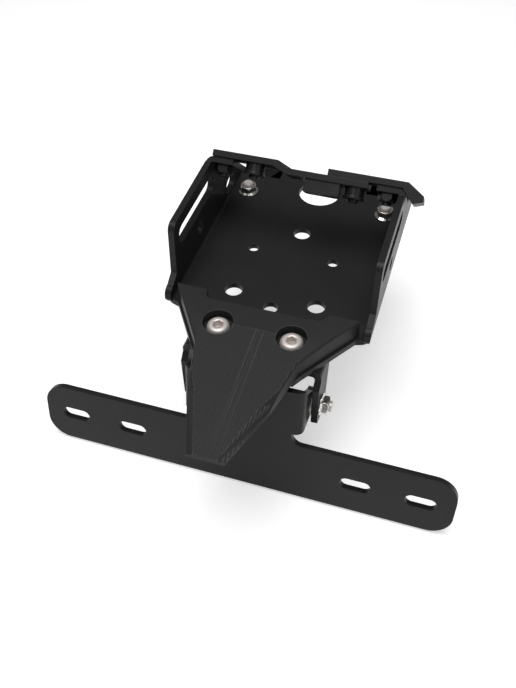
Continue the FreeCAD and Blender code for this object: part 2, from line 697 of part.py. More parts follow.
def make_block():
    """Block screwed under the left strap's lower run."""
    body = new_body("rear_block")
    top = size.strap_gap - size.sheet
    outline = new_sketch(body, "block_outline", "XY_Plane",
                         FreeCAD.Placement(V(0, 0, top), FreeCAD.Rotation()))
    corner = 1.5
    left, right, run = size.block_left, size.block_right, size.block_run
    draw(outline, [(left, 0), (right, 0), (right, run - corner), (right - corner, run),
                   (left + corner, run), (left, run - corner)])
    pad(body, outline, "block_pad", "sizes.block_high", reverse=True)
    hole = new_sketch(body, "block_hole", "XY_Plane",
                      FreeCAD.Placement(V(0, 0, top), FreeCAD.Rotation()))
    circle(hole, block_x(), size.boss_run, "pivot_thread", "/ 2 + sizes.thread_gap")
    pocket(body, hole, "block_hole_cut", both_ways=False)
    body.Placement = SLOPE_PLACE
    return body


def shape_piece(kind, name, **bindings):
    """Return a Part primitive whose sizes are bound to the spreadsheet."""
    obj = doc.addObject("Part::" + kind, name)
    for prop, expression in bindings.items():
        obj.setExpression(prop, expression)
    return obj


def lifted(obj, z):
    """Move a primitive up its own axis and return it."""
    obj.Placement.Base = V(0, 0, z)
    return obj


def fuse(name, shapes):
    """Fuse pieces of one solid."""
    obj = doc.addObject("Part::MultiFuse", name)
    obj.Shapes = shapes
    return obj


def cut(name, base, tool):
    """Cut one shape out of another."""
    obj = doc.addObject("Part::Cut", name)
    obj.Base = base
    obj.Tool = tool
    return obj


def make_bolt(label, stock, grip, place):
    """Button-head bolt. Its head's seat is at the local origin and its thread points down."""
    rim_share = 0.35
    high = "sizes.%s_head_high" % stock
    radius = "sizes.%s_head / 2" % stock
    rim = shape_piece("Cylinder", label + "_rim", Radius=radius,
                      Height="%s * %s" % (high, rim_share))
    crown = shape_piece("Cone", label + "_crown", Radius1=radius, Radius2=radius + " * 0.72",
                        Height="%s * %s" % (high, 1 - rim_share))
    lifted(crown, getattr(size, stock + "_head_high") * rim_share)
    shank = shape_piece("Cylinder", label + "_shank", Radius="sizes.%s_thread / 2" % stock)
    shank.Height = grip
    lifted(shank, -grip)
    key = shape_piece("Prism", label + "_key",
                      Circumradius="sizes.%s_key / 2 / cos(30)" % stock, Height=high)
    key.Polygon = 6
    lifted(key, getattr(size, stock + "_head_high") * 0.4)
    bolt = cut(label + "_bolt", fuse(label + "_blank", [rim, crown, shank]), key)
    bolt.Placement = place
    return keep(bolt, label)


def make_flush_screw(label, length, place):
    """Countersunk screw. The flat of its head is at the local origin, thread downwards."""
    depth = (size.flush_head - size.pivot_thread) / 2
    head = shape_piece("Cone", label + "_head", Radius1="sizes.pivot_thread / 2",
                       Radius2="sizes.flush_head / 2",
                       Height="(sizes.flush_head - sizes.pivot_thread) / 2")
    lifted(head, -depth)
    shank = shape_piece("Cylinder", label + "_shank", Radius="sizes.pivot_thread / 2")
    shank.Height = length - depth / 2
    lifted(shank, -length)
    key = shape_piece("Prism", label + "_key", Circumradius="sizes.pivot_key / 2 / cos(30)",
                      Height="sizes.pivot_key")
    key.Polygon = 6
    lifted(key, -depth * 0.75)
    screw = cut(label + "_screw", fuse(label + "_blank", [head, shank]), key)
    screw.Placement = place
    return keep(screw, label)


def make_plain_nut(label, stock, thread_alias, place):
    """Hexagon nut. Its seat is at the local origin, and its thread points upwards."""
    hexagon = shape_piece("Prism", label + "_hexagon",
                          Circumradius="sizes.%s_flat / 2 / cos(30)" % stock,
                          Height="sizes.%s_high" % stock)
    hexagon.Polygon = 6
    rim = shape_piece("Cone", label + "_chamfer", Radius1="sizes.%s_flat * 0.70" % stock,
                      Radius2="sizes.%s_flat * 0.49" % stock, Height="sizes.%s_high" % stock)
    body = doc.addObject("Part::Common", label + "_body")
    body.Base = hexagon
    body.Tool = rim
    thread = shape_piece("Cylinder", label + "_thread",
                         Radius="sizes.%s / 2 + sizes.thread_gap" % thread_alias,
                         Height="sizes.%s_high + 2" % stock)
    lifted(thread, -1)
    nut = cut(label + "_nut", body, thread)
    nut.Placement = place
    return keep(nut, label)


def make_flange_nut(label, place):
    """Flanged nut of the hinge and rear bolts. Its seat is at the local origin."""
    rim = shape_piece("Cylinder", label + "_rim", Radius="sizes.flange_nut_out / 2",
                      Height="sizes.flange_nut_rim")
    hexagon = shape_piece("Prism", label + "_hexagon",
                          Circumradius="sizes.flange_nut_flat / 2 / cos(30)",
                          Height="sizes.flange_nut_high")
    hexagon.Polygon = 6
    thread = shape_piece("Cylinder", label + "_thread",
                         Radius="sizes.pivot_thread / 2 + sizes.thread_gap",
                         Height="sizes.flange_nut_high + 2")
    lifted(thread, -1)
    nut = cut(label + "_nut", fuse(label + "_body", [rim, hexagon]), thread)
    nut.Placement = place
    return keep(nut, label)


def make_washer(label, outer, inner, thick, place):
    """Flat washer on the local origin."""
    disc = shape_piece("Cylinder", label + "_disc", Radius="sizes.%s / 2" % outer,
                       Height="sizes.%s" % thick)
    hole = shape_piece("Cylinder", label + "_hole", Radius=inner,
                       Height="sizes.%s + 2" % thick)
    lifted(hole, -1)
    washer = cut(label + "_washer", disc, hole)
    washer.Placement = place
    return keep(washer, label)


def make_boss(label, x, seat):
    """Turned boss under a strap: a tube with a rim at its lower end."""
    tube = shape_piece("Cylinder", label + "_tube", Radius="sizes.boss_out / 2",
                       Height="sizes.boss_long")
    rim = shape_piece("Cylinder", label + "_rim", Radius="sizes.boss_rim / 2",
                      Height="sizes.boss_rim_thick")
    thread = shape_piece("Cylinder", label + "_thread",
                         Radius="sizes.pivot_thread / 2 + sizes.thread_gap",
                         Height="sizes.boss_long + 2")
    lifted(thread, -1)
    boss = cut(label + "_boss", fuse(label + "_body", [tube, rim]), thread)
    boss.Placement = slope_place(x, size.boss_run, seat - size.boss_long)
    return keep(boss, label)


def slope_place(x, run, rise, turned=False):
    """Return a placement on the slope, with the local z off it or into it."""
    turn = FreeCAD.Rotation(V(1, 0, 0), 180) if turned else FreeCAD.Rotation()
    return SLOPE_PLACE.multiply(FreeCAD.Placement(V(x, run, rise), turn))


def place_fasteners():
    """Bolts, nuts and washers, each seated on the pieces that it clamps."""
    t = size.sheet
    down = FreeCAD.Rotation(V(1, 0, 0), 180)
    seat = size.wedge_high - size.screw_sink - size.screw_head_high
    under = -2 * t
    nut_top = under - size.washer_thick
    grip = seat - nut_top + size.nut_high + size.thread_proud
    stack = t + size.spacer_thick + t
    for side, sign in (("left", -1), ("right", 1)):
        x = sign * size.screw_x
        make_bolt("wedge_screw_" + side, "screw", grip,
                  FreeCAD.Placement(V(x, size.screw_y, seat), FreeCAD.Rotation()))
        make_washer("wedge_washer_" + side, "washer_out", "sizes.screw_thread / 2 + sizes.slack / 2",
                    "washer_thick", FreeCAD.Placement(V(x, size.screw_y, nut_top), FreeCAD.Rotation()))
        make_plain_nut("wedge_nut_" + side, "nut", "screw_thread",
                       FreeCAD.Placement(V(x, size.screw_y, nut_top), down))

        inner = sign * (size.ear_in - size.spacer_thick - 2 * size.pivot_gap - t)
        away = FreeCAD.Rotation(V(0, 1, 0), 90 * sign)
        inward = FreeCAD.Rotation(V(0, 1, 0), -90 * sign)
        axis_at = V(0, size.pivot_y, size.pivot_z)
        outer = sign * (size.ear_in + t)
        length = stack + 2 * size.pivot_gap + size.flange_nut_high + size.thread_proud * 0.6
        if sign < 0:
            make_flush_screw("hinge_bolt_left", length,
                             FreeCAD.Placement(axis_at + V(outer, 0, 0), away))
            nut_at = FreeCAD.Placement(axis_at + V(inner, 0, 0), inward)
        else:
            make_bolt("hinge_bolt_right", "pivot", length,
                      FreeCAD.Placement(axis_at + V(inner, 0, 0), inward))
            nut_at = FreeCAD.Placement(axis_at + V(outer, 0, 0), away)
        make_washer("hinge_washer_" + side, "spacer_out",
                    "sizes.pivot_thread / 2 + sizes.pivot_fit / 2", "spacer_thick",
                    FreeCAD.Placement(axis_at + V(sign * size.ear_in, 0, 0), inward))
        make_flange_nut("hinge_nut_" + side, nut_at)

        top = size.strap_gap + t
        tab_x = sign * size.tab_bolt_x
        make_flush_screw("tab_screw_" + side, 2 * t + size.strap_gap + size.tab_nut_high
                         + size.thread_proud, slope_place(tab_x, size.tab_bolt_run, top))
        make_plain_nut("tab_nut_" + side, "tab_nut", "pivot_thread",
                       slope_place(tab_x, size.tab_bolt_run, -t, True))

        boss_x = sign * size.boss_x
        seat_at = size.strap_gap - (t if sign > 0 else 0)
        make_boss("rear_boss_" + side, boss_x, seat_at)
        make_flush_screw("boss_screw_" + side, top - seat_at + size.boss_long
                         + size.thread_proud, slope_place(boss_x, size.boss_run, top))

        floor_x = sign * size.floor_bolt_x
        make_bolt("floor_bolt_" + side, "pivot", t + size.flange_nut_high + size.thread_proud,
                  FreeCAD.Placement(V(floor_x, size.floor_bolt_y, -t), down))
        make_flange_nut("floor_nut_" + side,
                        FreeCAD.Placement(V(floor_x, size.floor_bolt_y, 0), FreeCAD.Rotation()))

    make_flush_screw("block_screw", t + size.block_high,
                     slope_place(block_x(), size.boss_run, size.strap_gap))


def drill_tabs(body):
    """Drill the return tabs for the strap bolts, square to the slope."""
    sketch = new_sketch(body, "tray_tab_holes", "XY_Plane",
                        FreeCAD.Placement(SLOPE_TOP, FreeCAD.Rotation(V(1, 0, 0), -size.slope_deg)))
    for side_sign in (-1, 1):
        circle(sketch, side_sign * size.tab_bolt_x, size.tab_bolt_run, "pivot_thread",
               "/ 2 + sizes.slack / 2")
    pocket(body, sketch, "tray_tab_cut", both_ways=False, expression="sizes.sheet + 1")


def check_model():
    """Stop when an object failed or a piece is not one valid solid."""
    for obj in doc.Objects:
        if "Invalid" in obj.State or "Error" in obj.State:
            raise RuntimeError("%s failed: %s" % (obj.Name, obj.State))
    for piece in pieces:
        shape = piece.Shape
        if shape.isNull() or not shape.isValid() or len(shape.Solids) != 1:
            raise RuntimeError("%s is not one valid solid" % piece.Label)
        if shape.Volume <= 0:
            raise RuntimeError("%s is inside out" % piece.Label)


drill_tabs(make_tray())
make_wedge()
make_hinge_bracket()
make_plate_bracket()
make_left_strap()
make_right_strap()
make_block()
place_fasteners()
doc.recompute()
check_model()

os.makedirs("parts", exist_ok=True)
for piece in pieces:
    piece.Shape.exportStep(os.path.join("parts", piece.Label + ".step"))
    box = piece.Shape.BoundBox
    print("%-18s volume %9.1f  x %.1f..%.1f  y %.1f..%.1f  z %.1f..%.1f" % (
        piece.Label, piece.Shape.Volume, box.XMin, box.XMax, box.YMin, box.YMax, box.ZMin,
        box.ZMax))
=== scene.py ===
"""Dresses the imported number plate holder.

CadPieces gives each CAD node its finish. NoseWedge, Hardware and RearEnd make the pieces whose
forms are finer than the solids'. Lighting, Floor and Camera are the studio. The classes that make
pieces work in millimetres, and everything else is in metres.
"""

import json
import logging
import math
from dataclasses import dataclass, field
from enum import Enum

import bmesh
import bpy
from mathutils import Matrix, Vector


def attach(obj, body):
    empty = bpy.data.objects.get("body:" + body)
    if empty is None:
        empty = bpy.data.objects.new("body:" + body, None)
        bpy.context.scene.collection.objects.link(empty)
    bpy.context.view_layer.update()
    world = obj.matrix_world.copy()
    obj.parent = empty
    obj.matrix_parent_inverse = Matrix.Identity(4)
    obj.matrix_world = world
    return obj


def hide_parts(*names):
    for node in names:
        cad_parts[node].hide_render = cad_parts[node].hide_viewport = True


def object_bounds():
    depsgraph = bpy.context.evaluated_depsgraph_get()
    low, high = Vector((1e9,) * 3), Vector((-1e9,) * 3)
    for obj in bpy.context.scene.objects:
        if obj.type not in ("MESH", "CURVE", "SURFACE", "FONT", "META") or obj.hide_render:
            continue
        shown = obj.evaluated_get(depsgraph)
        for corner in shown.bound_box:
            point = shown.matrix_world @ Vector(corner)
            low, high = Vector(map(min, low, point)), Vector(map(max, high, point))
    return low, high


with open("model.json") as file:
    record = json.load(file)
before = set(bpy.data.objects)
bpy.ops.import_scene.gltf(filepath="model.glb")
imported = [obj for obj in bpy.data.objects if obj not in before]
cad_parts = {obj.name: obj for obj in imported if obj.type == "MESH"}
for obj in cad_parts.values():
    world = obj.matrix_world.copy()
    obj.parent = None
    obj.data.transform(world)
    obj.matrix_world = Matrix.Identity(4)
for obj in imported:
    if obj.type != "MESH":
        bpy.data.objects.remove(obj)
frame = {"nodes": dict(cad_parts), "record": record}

log = logging.getLogger("tail_tidy")
MM = 0.001
CAD_BOX = [list(corner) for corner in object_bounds()]

# Cosines of the bevelled normal's turn at which the painted highlight on an edge starts and is
# full.
EDGE_TURN = (0.995, 0.9)
BEVEL_SAMPLES = 6
BLOTCH_SCALE = 60.0
BLOTCH_DETAIL = 3.0
# The part of the blotches' range that the roughness is spread over.
BLOTCH_RANGE = (0.3, 0.7)
GRAIN_DETAIL = 2.0


class Slot(Enum):
    """The record's material slots."""

    COAT = "black_coat"
    ANODISED = "black_anodised"
    STAINLESS = "stainless"
    STEEL = "black_steel"


class Nodes:
    """Small helpers that add and join shader nodes in one tree."""

    def __init__(self, tree: bpy.types.NodeTree) -> None:
        """Keep the tree that the nodes go into."""
        self.tree = tree

    def add(self, kind: str, **values: object) -> bpy.types.Node:
        """Add a node and set its properties.

        Args:
            kind: The node's type name.
            values: Properties of the node, by name.

        Returns:
            The new node.
        """
        node = self.tree.nodes.new(kind)
        for name, value in values.items():
            setattr(node, name, value)
        return node

    def join(self, start: bpy.types.NodeSocket, end: bpy.types.NodeSocket) -> None:
        """Link one socket to another."""
        self.tree.links.new(start, end)

    def noise(self, where: bpy.types.NodeSocket, detail: float) -> bpy.types.Node:
        """Add a noise texture.

        Args:
            where: The coordinates that it is laid over.
            detail: How many finer layers it has.

        Returns:
            The texture's node.
        """
        node = self.add("ShaderNodeTexNoise")
        node.inputs["Detail"].default_value = detail
        self.join(where, node.inputs["Vector"])
        return node

    def spread(self, value: bpy.types.NodeSocket, ends: tuple[float, float],
               results: tuple[float, float]) -> bpy.types.NodeSocket:
        """Map a value from one range to another.

        Args:
            value: The value's socket.
            ends: The ends of its range.
            results: What those ends become.

        Returns:
            The result's socket.
        """
        node = self.add("ShaderNodeMapRange")
        for name, number in zip(("From Min", "From Max", "To Min", "To Max"), ends + results):
            node.inputs[name].default_value = number
        self.join(value, node.inputs["Value"])
        return node.outputs["Result"]


def make_edge_highlight_group() -> bpy.types.NodeTree:
    """Build the group that finds edges, which get a painted highlight, and the blotches of
    handling between them.

    Returns:
        A node group with the outputs Edge, the mask of the painted highlight, and Blotch, both
        from 0 to 1.
    """
    tree = bpy.data.node_groups.new("edge_highlight_and_blotches", "ShaderNodeTree")
    for label, way in (("Edge width", "INPUT"), ("Blotch scale", "INPUT"),
                       ("Edge", "OUTPUT"), ("Blotch", "OUTPUT")):
        tree.interface.new_socket(label, in_out=way, socket_type="NodeSocketFloat")
    nodes = Nodes(tree)
    given = nodes.add("NodeGroupInput")
    result = nodes.add("NodeGroupOutput")
    place = nodes.add("ShaderNodeTexCoord").outputs["Object"]
    flat = nodes.add("ShaderNodeNewGeometry").outputs["Normal"]
    bevel = nodes.add("ShaderNodeBevel", samples=BEVEL_SAMPLES)
    nodes.join(given.outputs["Edge width"], bevel.inputs["Radius"])
    turn = nodes.add("ShaderNodeVectorMath", operation="DOT_PRODUCT")
    nodes.join(flat, turn.inputs[0])
    nodes.join(bevel.outputs["Normal"], turn.inputs[1])
    # Edge: where the bevelled normal turns away, the mask of a painted highlight along edges.
    edge = nodes.spread(turn.outputs["Value"], EDGE_TURN, (0.0, 1.0))
    blotch = nodes.noise(place, BLOTCH_DETAIL)
    nodes.join(given.outputs["Blotch scale"], blotch.inputs["Scale"])
    nodes.join(edge, result.inputs["Edge"])
    nodes.join(blotch.outputs["Fac"], result.inputs["Blotch"])
    return tree


@dataclass(frozen=True)
class Finish:
    """A finish whose gloss varies a little over its surface and whose edges carry a painted
    highlight in a lighter colour.

    The colours are linear. edge_width and grain_height are in metres.
    """

    name: str
    colour: tuple[float, float, float]
    # Painted highlight: the lighter colour that the edges take.
    edge_highlight_colour: tuple[float, float, float]
    roughness: float
    roughness_spread: float
    metallic: float
    grain_scale: float
    grain_height: float
    edge_width: float = 0.0004
    specular: float = 0.5

    def build(self, highlight_and_blotch_group: bpy.types.NodeTree) -> bpy.types.Material:
        """Make the material.

        Args:
            highlight_and_blotch_group: The shared group for edges and blotches.

        Returns:
            The finished material.
        """
        material = bpy.data.materials.new(self.name)
        material.use_nodes = True
        nodes = Nodes(material.node_tree)
        shader = material.node_tree.nodes["Principled BSDF"]
        place = nodes.add("ShaderNodeTexCoord").outputs["Object"]
        group = nodes.add("ShaderNodeGroup", node_tree=highlight_and_blotch_group)
        group.inputs["Edge width"].default_value = self.edge_width
        group.inputs["Blotch scale"].default_value = BLOTCH_SCALE
        # Painted highlight: the edges' mask mixes in the lighter edge colour.
        mix = nodes.add("ShaderNodeMix", data_type="RGBA")
        mix.inputs["A"].default_value = (*self.colour, 1.0)
        mix.inputs["B"].default_value = (*self.edge_highlight_colour, 1.0)
        nodes.join(group.outputs["Edge"], mix.inputs["Factor"])
        nodes.join(mix.outputs["Result"], shader.inputs["Base Color"])
        low = self.roughness - self.roughness_spread
        high = self.roughness + self.roughness_spread
        rough = nodes.spread(group.outputs["Blotch"], BLOTCH_RANGE, (low, high))
        nodes.join(rough, shader.inputs["Roughness"])
        bump = nodes.add("ShaderNodeBump")
        bump.inputs["Strength"].default_value = 1.0
        bump.inputs["Distance"].default_value = self.grain_height
        grain = nodes.noise(place, GRAIN_DETAIL)
        grain.inputs["Scale"].default_value = self.grain_scale
        nodes.join(grain.outputs["Fac"], bump.inputs["Height"])
        rounded = nodes.add("ShaderNodeBevel", samples=BEVEL_SAMPLES)
        rounded.inputs["Radius"].default_value = self.edge_width
        nodes.join(rounded.outputs["Normal"], bump.inputs["Normal"])
        nodes.join(bump.outputs["Normal"], shader.inputs["Normal"])
        shader.inputs["Metallic"].default_value = self.metallic
        shader.inputs["Specular IOR Level"].default_value = self.specular
        return material


# The second colour of each finish is a painted highlight along its edges.
COAT = Finish(
    "satin_powder_coat", colour=(0.018, 0.018, 0.0185), edge_highlight_colour=(0.042, 0.042, 0.043),
    roughness=0.40, roughness_spread=0.05, metallic=0.0, grain_scale=2600.0,
    grain_height=0.00005, specular=0.19)
ANODISED = Finish(
    "black_anodised", colour=(0.027, 0.027, 0.0275), edge_highlight_colour=(0.11, 0.11, 0.112),
    roughness=0.46, roughness_spread=0.04, metallic=0.0, grain_scale=3000.0,
    grain_height=0.00002, specular=0.12)
STAINLESS = Finish(
    "stainless_steel", colour=(0.66, 0.60, 0.57), edge_highlight_colour=(0.70, 0.65, 0.62),
    roughness=0.44, roughness_spread=0.05, metallic=0.5, grain_scale=1800.0,
    grain_height=0.00001, edge_width=0.0001)
BRIGHT = Finish(
    "bright_nut_steel", colour=(0.78, 0.76, 0.73), edge_highlight_colour=(0.86, 0.84, 0.81),
    roughness=0.24, roughness_spread=0.06, metallic=1.0, grain_scale=1800.0,
    grain_height=0.00001, edge_width=0.0002)
STEEL = Finish(
    "black_zinc", colour=(0.012, 0.012, 0.013), edge_highlight_colour=(0.05, 0.05, 0.052),
    roughness=0.30, roughness_spread=0.05, metallic=0.3, grain_scale=2200.0,
    grain_height=0.00002, edge_width=0.0003)


class FinishSet:
    """All the finishes, by the record's slot, and the brighter one of the nuts."""

    def __init__(self) -> None:
        """Build each finish once."""
        highlight_and_blotch_group = make_edge_highlight_group()
        self.by_slot = {
            Slot.COAT: COAT.build(highlight_and_blotch_group), Slot.ANODISED: ANODISED.build(highlight_and_blotch_group),
            Slot.STAINLESS: STAINLESS.build(highlight_and_blotch_group), Slot.STEEL: STEEL.build(highlight_and_blotch_group)}
        self.bright = BRIGHT.build(highlight_and_blotch_group)

    def dress(self, obj: bpy.types.Object, slot: Slot) -> None:
        """Give a piece the material of a slot in place of what it has."""
        MeshTools.paint(obj, self.by_slot[slot])


class MeshTools:
    """Small mesh helpers that several sub-assemblies use."""

    FLAT_LIMIT = 0.95

    @staticmethod
    def obj(name: str, mesh: bpy.types.Mesh) -> bpy.types.Object:
        """Make an object for a mesh, link it to the scene and return it."""
        made = bpy.data.objects.new(name, mesh)
        bpy.context.scene.collection.objects.link(made)
        return made

    @staticmethod
    def paint(obj: bpy.types.Object, material: bpy.types.Material) -> None:
        """Give an object one material in place of what it has."""
        obj.data.materials.clear()
        obj.data.materials.append(material)

    @staticmethod
    def to_metres(mesh: bpy.types.Mesh) -> None:
        """Scale a mesh that was made in millimetres."""
        for v in mesh.vertices:
            v.co *= MM

    @staticmethod
    def extrude(bm: bmesh.types.BMesh, outline: list[tuple[float, float]], low: float,
                high: float) -> None:
        """Draw a level outline and extrude it upwards.

        Args:
            bm: The bmesh that the body is added to.
            outline: The outline's corners.
            low: Height of the outline.
            high: Height of the body's top.
        """
        face = bm.faces.new([bm.verts.new((x, y, low)) for x, y in outline])
        grown = bmesh.ops.extrude_face_region(bm, geom=[face])
        top = [v for v in grown["geom"] if isinstance(v, bmesh.types.BMVert)]
        bmesh.ops.translate(bm, verts=top, vec=(0, 0, high - low))

    @staticmethod
    def finish(bm: bmesh.types.BMesh, name: str) -> bpy.types.Mesh:
        """Turn a bmesh into a mesh whose faces point outwards.

        Args:
            bm: The bmesh, which is freed.
            name: The mesh's name.

        Returns:
            The mesh.
        """
        bmesh.ops.recalc_face_normals(bm, faces=bm.faces)
        mesh = bpy.data.meshes.new(name)
        bm.to_mesh(mesh)
        bm.free()
        return mesh

    @staticmethod
    def prism(name: str, outline: list[tuple[float, float]], low: float, high: float,
              frame_of: Matrix | None = None) -> bpy.types.Mesh:
        """Extrude a flat outline.

        Args:
            name: The mesh's name.
            outline: Corners in the outline's own plane.
            low: Start of the extrusion.
            high: End of the extrusion.
            frame_of: Turns the outline's frame into the model's.

        Returns:
            A closed mesh.
        """
        bm = bmesh.new()
        MeshTools.extrude(bm, outline, low, high)
        if frame_of is not None:
            bmesh.ops.transform(bm, matrix=frame_of, verts=bm.verts)
        return MeshTools.finish(bm, name)

    @staticmethod
    def rings(name: str, rows: list[list[Vector]], closed: bool) -> bpy.types.Mesh:
        """Join rings of points into a skin.

        Args:
            name: The mesh's name.
            rows: Rings with the same number of points. A ring of one point is a pole.
            closed: True where the last ring joins the first one.

        Returns:
            A closed mesh.
        """
        bm = bmesh.new()
        made = [[bm.verts.new(p) for p in row] for row in rows]
        pairs = list(zip(made, made[1:] + made[:1])) if closed else list(zip(made, made[1:]))
        for low, high in pairs:
            count = max(len(low), len(high))
            for i in range(count):
                j = (i + 1) % count
                ring = [low[i % len(low)], low[j % len(low)], high[j % len(high)],
                        high[i % len(high)]]
                corners = list(dict.fromkeys(ring))
                if len(corners) > 2:
                    bm.faces.new(corners)
        return MeshTools.finish(bm, name)

    @staticmethod
    def bake(obj: bpy.types.Object) -> None:
        """Replace an object's mesh by its evaluated one and drop its modifiers."""
        bpy.context.view_layer.update()
        graph = bpy.context.evaluated_depsgraph_get()
        mesh = bpy.data.meshes.new_from_object(obj.evaluated_get(graph))
        obj.modifiers.clear()
        obj.data = mesh

    @staticmethod
    def tidy(mesh: bpy.types.Mesh, merge: float) -> None:
        """Merge points that nearly meet and turn all faces into triangles.

        Args:
            mesh: The mesh to clean.
            merge: Points nearer to each other than this become one.
        """
        bm = bmesh.new()
        bm.from_mesh(mesh)
        bmesh.ops.remove_doubles(bm, verts=bm.verts, dist=merge)
        bmesh.ops.dissolve_degenerate(bm, edges=bm.edges, dist=merge)
        bmesh.ops.triangulate(bm, faces=bm.faces, ngon_method="EAR_CLIP")
        bm.to_mesh(mesh)
        bm.free()

    @staticmethod
    def soften(mesh: bpy.types.Mesh, smooth_deg: float, flat: Vector | None = None) -> None:
        """Shade smooth below an angle and sharp above it.

        Args:
            mesh: The mesh to shade.
            smooth_deg: The greatest angle that is smoothed.
            flat: Faces that look about this way stay flat.
        """
        for face in mesh.polygons:
            face.use_smooth = flat is None or face.normal.dot(flat) < MeshTools.FLAT_LIMIT
        mesh.set_sharp_from_angle(angle=math.radians(smooth_deg))

    @staticmethod
    def cut(obj: bpy.types.Object, cutters: list[bpy.types.Mesh]) -> None:
        """Take cutters away from an object, one after another.

        Args:
            obj: The object to cut.
            cutters: Closed meshes.
        """
        spares = []
        for i, mesh in enumerate(cutters):
            tool = MeshTools.obj("cutter_%d" % i, mesh)
            spares.append(tool)
            step = obj.modifiers.new("cut_%d" % i, "BOOLEAN")
            step.operation = "DIFFERENCE"
            step.solver = "MANIFOLD"
            step.object = tool
        MeshTools.bake(obj)
        for tool in spares:
            bpy.data.objects.remove(tool)


class NodeSet:
    """The Geometry Nodes trees that repeat a part or a groove."""

    @staticmethod
    def start(name: str, sockets: list[tuple[str, str]]
              ) -> tuple[bpy.types.NodeTree, bpy.types.Node, bpy.types.Node]:
        """Make a tree with a geometry in and out and the given inputs.

        Args:
            name: The tree's name.
            sockets: Name and socket type of each input.

        Returns:
            The tree, its group input and its group output.
        """
        tree = bpy.data.node_groups.new(name, "GeometryNodeTree")
        tree.interface.new_socket("Geometry", in_out="INPUT", socket_type="NodeSocketGeometry")
        for label, kind in sockets:
            tree.interface.new_socket(label, in_out="INPUT", socket_type=kind)
        tree.interface.new_socket("Geometry", in_out="OUTPUT", socket_type="NodeSocketGeometry")
        return tree, tree.nodes.new("NodeGroupInput"), tree.nodes.new("NodeGroupOutput")

    @staticmethod
    def placed_copies() -> bpy.types.NodeTree:
        """Build the tree that puts a copy of a part on each point of a mesh.

        Returns:
            The tree, with the inputs Part, Turn and Material.
        """
        tree, given, result = NodeSet.start("placed_copies", [
            ("Part", "NodeSocketObject"), ("Turn", "NodeSocketVector"),
            ("Material", "NodeSocketMaterial")])
        join = tree.links.new
        info = tree.nodes.new("GeometryNodeObjectInfo")
        put = tree.nodes.new("GeometryNodeInstanceOnPoints")
        real = tree.nodes.new("GeometryNodeRealizeInstances")
        paint = tree.nodes.new("GeometryNodeSetMaterial")
        join(given.outputs["Part"], info.inputs["Object"])
        join(given.outputs["Geometry"], put.inputs["Points"])
        join(info.outputs["Geometry"], put.inputs["Instance"])
        join(given.outputs["Turn"], put.inputs["Rotation"])
        join(put.outputs["Instances"], real.inputs["Geometry"])
        join(real.outputs["Geometry"], paint.inputs["Geometry"])
        join(given.outputs["Material"], paint.inputs["Material"])
        join(paint.outputs["Geometry"], result.inputs["Geometry"])
        return tree

    @staticmethod
    def grooves() -> bpy.types.NodeTree:
        """Build the tree that cuts a row of equal grooves into a body.

        Returns:
            The tree, with the inputs Cutter, Count, Start, Step and Material.
        """
        tree, given, result = NodeSet.start("tool_grooves", [
            ("Cutter", "NodeSocketObject"), ("Count", "NodeSocketInt"),
            ("Start", "NodeSocketVector"), ("Step", "NodeSocketVector"),
            ("Material", "NodeSocketMaterial")])
        join = tree.links.new
        info = tree.nodes.new("GeometryNodeObjectInfo")
        line = tree.nodes.new("GeometryNodeMeshLine")
        put = tree.nodes.new("GeometryNodeInstanceOnPoints")
        real = tree.nodes.new("GeometryNodeRealizeInstances")
        cut = tree.nodes.new("GeometryNodeMeshBoolean")
        cut.operation = "DIFFERENCE"
        cut.solver = "MANIFOLD"
        paint = tree.nodes.new("GeometryNodeSetMaterial")
        join(given.outputs["Cutter"], info.inputs["Object"])
        join(given.outputs["Count"], line.inputs["Count"])
        join(given.outputs["Start"], line.inputs["Start Location"])
        join(given.outputs["Step"], line.inputs["Offset"])
        join(line.outputs["Mesh"], put.inputs["Points"])
        join(info.outputs["Geometry"], put.inputs["Instance"])
        join(put.outputs["Instances"], real.inputs["Geometry"])
        join(given.outputs["Geometry"], cut.inputs["Mesh 1"])
        join(real.outputs["Geometry"], cut.inputs["Mesh 2"])
        join(cut.outputs["Mesh"], paint.inputs["Geometry"])
        join(given.outputs["Material"], paint.inputs["Material"])
        join(paint.outputs["Geometry"], result.inputs["Geometry"])
        return tree

    @staticmethod
    def apply(obj: bpy.types.Object, tree: bpy.types.NodeTree, **values: object) -> None:
        """Give an object a node modifier with its inputs set by identifier.

        Args:
            obj: The object that gets the modifier.
            tree: The modifier's tree.
            values: The tree's inputs by name.
        """
        step = obj.modifiers.new(tree.name, "NODES")
        step.node_group = tree
        names = {item.name: item.identifier for item in tree.interface.items_tree
                 if item.item_type == "SOCKET" and item.in_out == "INPUT"}
        for name, value in values.items():
            step[names[name]] = value


